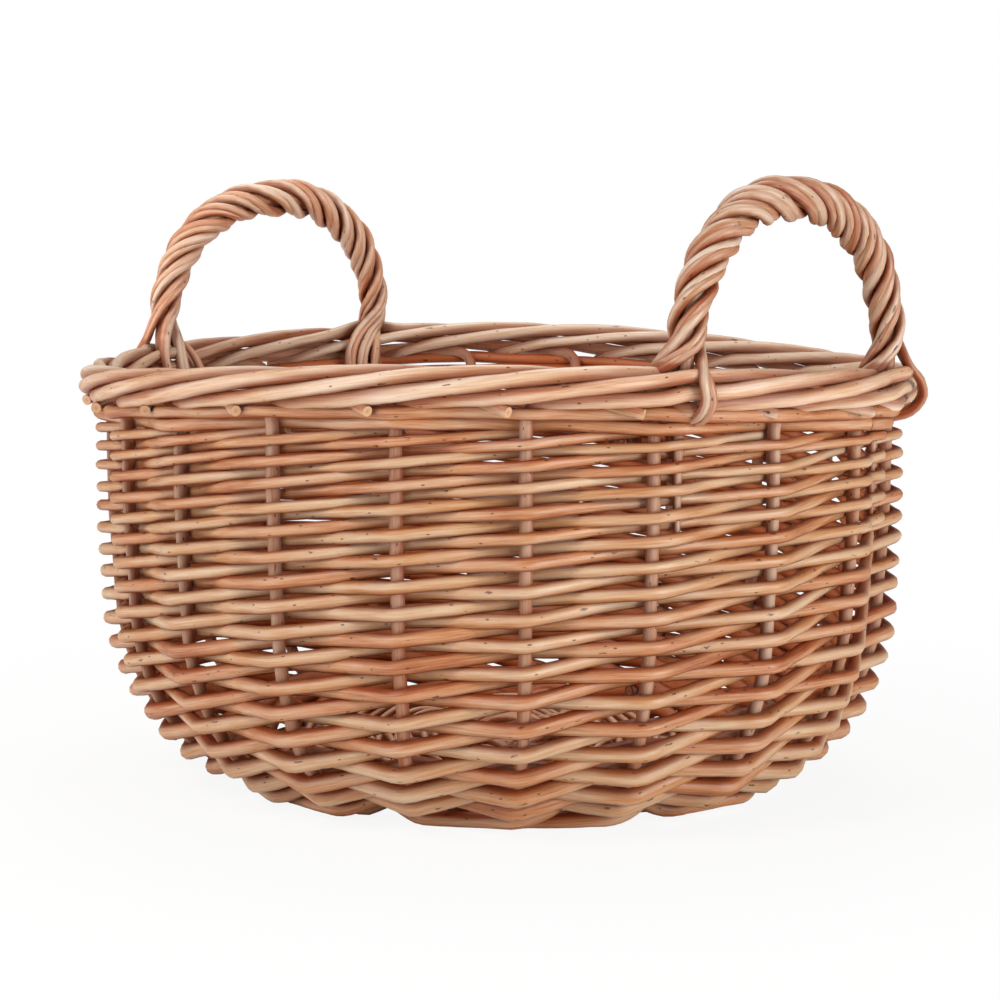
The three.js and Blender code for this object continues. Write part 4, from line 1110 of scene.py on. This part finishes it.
def sweep_tree():
    tree = bpy.data.node_groups.new("willow_rod", "GeometryNodeTree")
    face = tree.interface
    face.new_socket("Geometry", in_out="INPUT", socket_type="NodeSocketGeometry")
    sides, lumps, finish = (
        face.new_socket(label, in_out="INPUT", socket_type=kind)
        for label, kind in (("Sides", "NodeSocketInt"), ("Unevenness", "NodeSocketFloat"),
                            ("Material", "NodeSocketMaterial")))
    face.new_socket("Geometry", in_out="OUTPUT", socket_type="NodeSocketGeometry")
    sides.default_value = ROD_SIDES
    lumps.default_value = UNEVENNESS
    given = node(tree, "NodeGroupInput")
    girth, tone, along = (
        node(tree, "GeometryNodeInputNamedAttribute", {"Name": label}, data_type="FLOAT")
        for label in ("girth", "tone", "along"))
    section, open_way = (
        node(tree, "GeometryNodeInputNamedAttribute", {"Name": label}, data_type="FLOAT_VECTOR")
        for label in ("section", "open_way"))
    normal = node(tree, "GeometryNodeInputNormal")

    # The path as a curve, and its length in millimetres
    length = node(tree, "GeometryNodeSplineParameter").outputs["Length"]
    length = node(tree, "ShaderNodeMath", {0: length, 1: 1 / MM}, operation="MULTIPLY")
    curve = node(tree, "GeometryNodeMeshToCurve", {"Mesh": given.outputs["Geometry"]})
    curve = node(tree, "GeometryNodeStoreNamedAttribute", {
        "Geometry": curve, "Name": "along", "Value": length}, data_type="FLOAT", domain="POINT")
    wave = node(tree, "ShaderNodeMath", {0: tone, 1: SKIN_START, 2: length}, operation="MULTIPLY_ADD")
    swelling = node(tree, "ShaderNodeTexNoise", {"W": wave, "Scale": 0.045, "Detail": 2, "Roughness": 0.5},
                    noise_dimensions="1D")
    swelling = node(tree, "ShaderNodeMapRange", {"Value": swelling, **SWELLING})
    radius = node(tree, "ShaderNodeMath", {0: girth, 1: swelling}, operation="MULTIPLY")

    # The tube, with the place in its cross-section in millimetres
    ring = node(tree, "GeometryNodeCurvePrimitiveCircle", {"Resolution": given.outputs["Sides"], "Radius": 1})
    ring_place = node(tree, "GeometryNodeInputPosition")
    ring = node(tree, "GeometryNodeStoreNamedAttribute", {
        "Geometry": ring, "Name": "section", "Value": ring_place}, data_type="FLOAT_VECTOR", domain="POINT")
    tube = node(tree, "GeometryNodeCurveToMesh", {
        "Curve": curve, "Profile Curve": ring, "Scale": radius, "Fill Caps": True})
    girth_mm = node(tree, "ShaderNodeMath", {0: girth, 1: 1 / MM}, operation="MULTIPLY")
    section_mm = node(tree, "ShaderNodeVectorMath", {0: section, "Scale": girth_mm}, operation="SCALE")
    tube = node(tree, "GeometryNodeStoreNamedAttribute", {
        "Geometry": tube, "Name": "section", "Value": section_mm}, data_type="FLOAT_VECTOR", domain="POINT")

    # Its lumps
    across = node(tree, "ShaderNodeSeparateXYZ", {0: section})
    start = node(tree, "ShaderNodeMath", {0: tone, 1: LUMPS_START}, operation="MULTIPLY")
    drawn_out = node(tree, "ShaderNodeMath", {0: along, 1: LUMP_SHARE, 2: start}, operation="MULTIPLY_ADD")
    place = node(tree, "ShaderNodeCombineXYZ", {0: across.outputs[0], 1: across.outputs[1], 2: drawn_out})
    depth = node(tree, "ShaderNodeTexNoise", {"Vector": place, "Scale": 0.33, "Detail": 1})
    depth = node(tree, "ShaderNodeMath", {0: depth, 1: LUMP_LEVEL}, operation="SUBTRACT")
    for factor in (given.outputs["Unevenness"], girth, LUMP_HEIGHT):
        depth = node(tree, "ShaderNodeMath", {0: depth, 1: factor}, operation="MULTIPLY")
    offset = node(tree, "ShaderNodeVectorMath", {0: normal, "Scale": depth}, operation="SCALE")
    tube = node(tree, "GeometryNodeSetPosition", {"Geometry": tube, "Offset": offset})

    # How far it faces the open air, and the basket's inside, for the materials' painted shade and painted
    # bounce light
    facing = node(tree, "ShaderNodeVectorMath", {0: normal, 1: open_way}, operation="DOT_PRODUCT")
    facing = facing.outputs["Value"]
    behind = node(tree, "ShaderNodeMath", {0: facing, 1: -0.5}, operation="MULTIPLY")
    openness = node(tree, "ShaderNodeMath", {0: facing, 1: behind}, operation="MAXIMUM")
    inner = node(tree, "ShaderNodeMath", {0: facing, 1: -1}, operation="MULTIPLY")
    for label, value in (("open", openness), ("inner", inner)):
        tube = node(tree, "GeometryNodeStoreNamedAttribute", {
            "Geometry": tube, "Name": label, "Value": value}, data_type="FLOAT", domain="POINT")
    tube = node(tree, "GeometryNodeSetShadeSmooth", {"Geometry": tube})
    tube = node(tree, "GeometryNodeRealizeInstances", {"Geometry": tube})
    tube = node(tree, "GeometryNodeSetMaterial", {"Geometry": tube, "Material": given.outputs["Material"]})
    node(tree, "NodeGroupOutput", {"Geometry": tube})
    return tree, sides.identifier, lumps.identifier, finish.identifier


SWEEP, SIDES_INPUT, LUMPS_INPUT, MATERIAL_INPUT = sweep_tree()
tones = random.Random(5)


def rod_piece(name, paths, finish, replaced, sides=ROD_SIDES, step=ROD_STEP,
              open_from=open_from_wall):
    """One or more willow rods as one piece, in place of the CAD node."""
    vertices, edges, radii, tone_values, open_ways = [], [], [], [], []
    for path in paths:
        own_tone = tones.random()
        run = smooth(path, step)
        for i, (at, radius) in enumerate(run):
            if i:
                edges.append((len(vertices) - 1, len(vertices)))
            vertices.append(by_hand(at) * MM)
            radii.append(radius * MM)
            tone_values.append(own_tone)
            open_ways.extend(open_from(at))
    line = bpy.data.meshes.new(name)
    line.from_pydata(vertices, edges, [])
    for label, values in (("girth", radii), ("tone", tone_values)):
        line.attributes.new(label, "FLOAT", "POINT").data.foreach_set("value", values)
    line.attributes.new("open_way", "FLOAT_VECTOR", "POINT").data.foreach_set("vector", open_ways)
    obj = bpy.data.objects.new(name, line)
    bpy.context.collection.objects.link(obj)
    sweep = obj.modifiers.new("sweep", "NODES")
    sweep.node_group = SWEEP
    sweep[SIDES_INPUT] = sides
    sweep[LUMPS_INPUT] = UNEVENNESS
    sweep[MATERIAL_INPUT] = finish
    obj.data.update()
    evaluated = obj.evaluated_get(bpy.context.evaluated_depsgraph_get())
    swept = bpy.data.meshes.new_from_object(evaluated, preserve_all_data_layers=True,
                                            depsgraph=bpy.context.evaluated_depsgraph_get())
    obj.modifiers.remove(sweep)
    obj.data = swept
    obj.name = name
    # The table presses flat what would reach under it
    for vertex in swept.vertices:
        vertex.co.z = max(vertex.co.z, 0)
    swept.materials.append(end_willow)
    # Only a cut end has more than four corners
    for face in swept.polygons:
        if len(face.vertices) > 4:
            face.use_smooth = False
            face.material_index = len(swept.materials) - 1
    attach(obj, "root")
    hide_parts(replaced)
    return obj


for stake in range(STAKE_COUNT):
    rod_piece(f"willow_stake_{stake + 1:02d}", [stake_path(stake)], willows["border"],
              f"stake_{stake + 1:02d}", sides=12, step=3.4, open_from=open_from_border)

for rod in range(STAKE_COUNT):
    rod_piece(f"willow_siding_{rod + 1:02d}", [siding_path(rod)], willows["siding"],
              f"siding_rod_{rod + 1:02d}")

for rod in range(2):
    rounds = [upsett_path(rod, middle) for middle in UPSETT_MIDDLES]
    rod_piece(f"willow_upsett_{rod + 1}", rounds, willows["siding"],
              f"upsett_rod_{rod + 1}", sides=12, step=3.2)
rod_piece("willow_top_wale", [top_wale_path(0), top_wale_path(1)], willows["siding"],
          "top_wale_rod", step=4)

# The sticks of the base: their direction, the direction across them, and for each its two ends and
# its place across, in stick widths
STICKS = {
    "slit": (CROSS, CROSSWAYS, [(0, 5, 0), (1, 4, 1), (9, 6, -1)]),
    "through": (CROSSWAYS, CROSS, [(2, 8, 0.5), (3, 7, -0.5)]),
}
for kind, (axis, across, sticks) in STICKS.items():
    for i, (a, b, place) in enumerate(sticks):
        path = stick_path(a, b, axis, place * STICK_PITCH, across, kind == "slit")
        rod_piece(f"willow_{kind}_stick_{i + 1}", [path], willows["base"],
                  f"base_{kind}_stick_{i + 1}", sides=12, open_from=open_from_base)
for rod in range(2):
    rod_piece(f"willow_base_weaver_{rod + 1}", [base_weaver_path(rod), tie_path(rod)], willows["base"],
              f"base_weaver_{rod + 1}", sides=8, step=3, open_from=open_from_base)

for label, handle in HANDLES.items():
    rod_piece(f"willow_{label}_bow", [bow_path(handle)], willows[f"{label}_handle"],
              f"{label}_handle_bow", sides=12)
    for bundle in range(WRAP_RODS):
        rod_piece(f"willow_{label}_wrap_{bundle + 1}", wrap_paths(handle, bundle), willows[f"{label}_handle"],
                  f"{label}_handle_wrap_{bundle + 1}", sides=10, step=2.4,
                  open_from=open_from_bow(handle))

# Floor, light and camera
floor_mesh = bpy.data.meshes.new("floor")
floor_mesh.from_pydata([(-6, -6, 0), (6, -6, 0), (6, 6, 0), (-6, 6, 0)], [], [(0, 1, 2, 3)])
floor = bpy.data.objects.new("floor", floor_mesh)
bpy.context.collection.objects.link(floor)
# White paper: matt under the basket, where its shadow shows, and plain white away from it
floor_finish = new_material("white_paper_floor")
tree = floor_finish.node_tree
seen = node(tree, "ShaderNodeLightPath").outputs["Is Camera Ray"]
paper = node(tree, "ShaderNodeBsdfDiffuse", {"Color": linear("#F6F4F1")})
bright = node(tree, "ShaderNodeEmission", {"Color": grey(1), "Strength": 1})
place = node(tree, "ShaderNodeTexCoord").outputs["Object"]
far = node(tree, "ShaderNodeVectorMath", {0: place}, operation="LENGTH").outputs["Value"]
fade = node(tree, "ShaderNodeMapRange", {
    "Value": far, "From Min": 0.15, "From Max": 0.6, "To Min": 0.9, "To Max": 1},
    interpolation_type="SMOOTHSTEP")
share = node(tree, "ShaderNodeMath", {0: seen, 1: fade}, operation="MULTIPLY")
floor_mix = node(tree, "ShaderNodeMixShader", {0: share, 1: paper, 2: bright})
node(tree, "ShaderNodeOutputMaterial", {"Surface": floor_mix})
floor_mesh.materials.append(floor_finish)

scene = bpy.context.scene
world = bpy.data.worlds.new("studio")
scene.world = world
world.use_nodes = True
tree = world.node_tree
tree.nodes.clear()
seen = node(tree, "ShaderNodeLightPath").outputs["Is Camera Ray"]
strength = node(tree, "ShaderNodeMapRange", {"Value": seen, "To Min": 0.26, "To Max": 1})
sky = node(tree, "ShaderNodeBackground", {"Color": grey(1), "Strength": strength})
node(tree, "ShaderNodeOutputWorld", {"Surface": sky})

AZIMUTH = math.radians(49.5)
RIGHT = Vector((math.cos(AZIMUTH), math.sin(AZIMUTH), 0))
TO_CAMERA = Vector((math.sin(AZIMUTH), -math.cos(AZIMUTH), 0))


def from_camera(nearer, right, up):
    """A place in metres, seen from the camera: how far towards it, to its right, and up."""
    return TO_CAMERA * nearer + RIGHT * right + UP * up


# Each softbox: its place as seen from the camera, its size in metres, and its power in watts
SOFTBOXES = {
    "key": ((1.0, -1.0, 1.5), 0.7, 14),
    "fill": ((1.2, 1.3, 0.4), 0.9, 24),
    "side": ((0.9, -1.5, 0.35), 0.9, 11),
    "left_edge": ((0, -1.4, 0.35), 0.7, 3),
    "top": ((-0.6, 0, 1.6), 1.0, 12),
}
LIT_PLACE = Vector((0, 0, 0.1))
for label, (place, size, power) in SOFTBOXES.items():
    lamp = bpy.data.lights.new(label, "AREA")
    lamp.shape = "SQUARE"
    lamp.size = size
    lamp.energy = power
    softbox = bpy.data.objects.new(label, lamp)
    bpy.context.collection.objects.link(softbox)
    softbox.location = from_camera(*place)
    softbox.rotation_euler = (LIT_PLACE - from_camera(*place)).to_track_quat("-Z", "Y").to_euler()

SENSOR_WIDTH = 36
FOCAL_RATIO = 2.7396
PITCH = math.radians(6.261)
camera_data = bpy.data.cameras.new("camera")
camera_data.sensor_width = SENSOR_WIDTH
camera_data.lens = SENSOR_WIDTH * FOCAL_RATIO
camera_data.clip_start = 0.05
camera = bpy.data.objects.new("camera", camera_data)
bpy.context.collection.objects.link(camera)
camera.location = from_camera(1.2357, 0.00275, 0.25975)
look = -TO_CAMERA * math.cos(PITCH) - UP * math.sin(PITCH)
camera.rotation_euler = look.to_track_quat("-Z", "Y").to_euler()
scene.camera = camera
scene.view_settings.view_transform = "Standard"
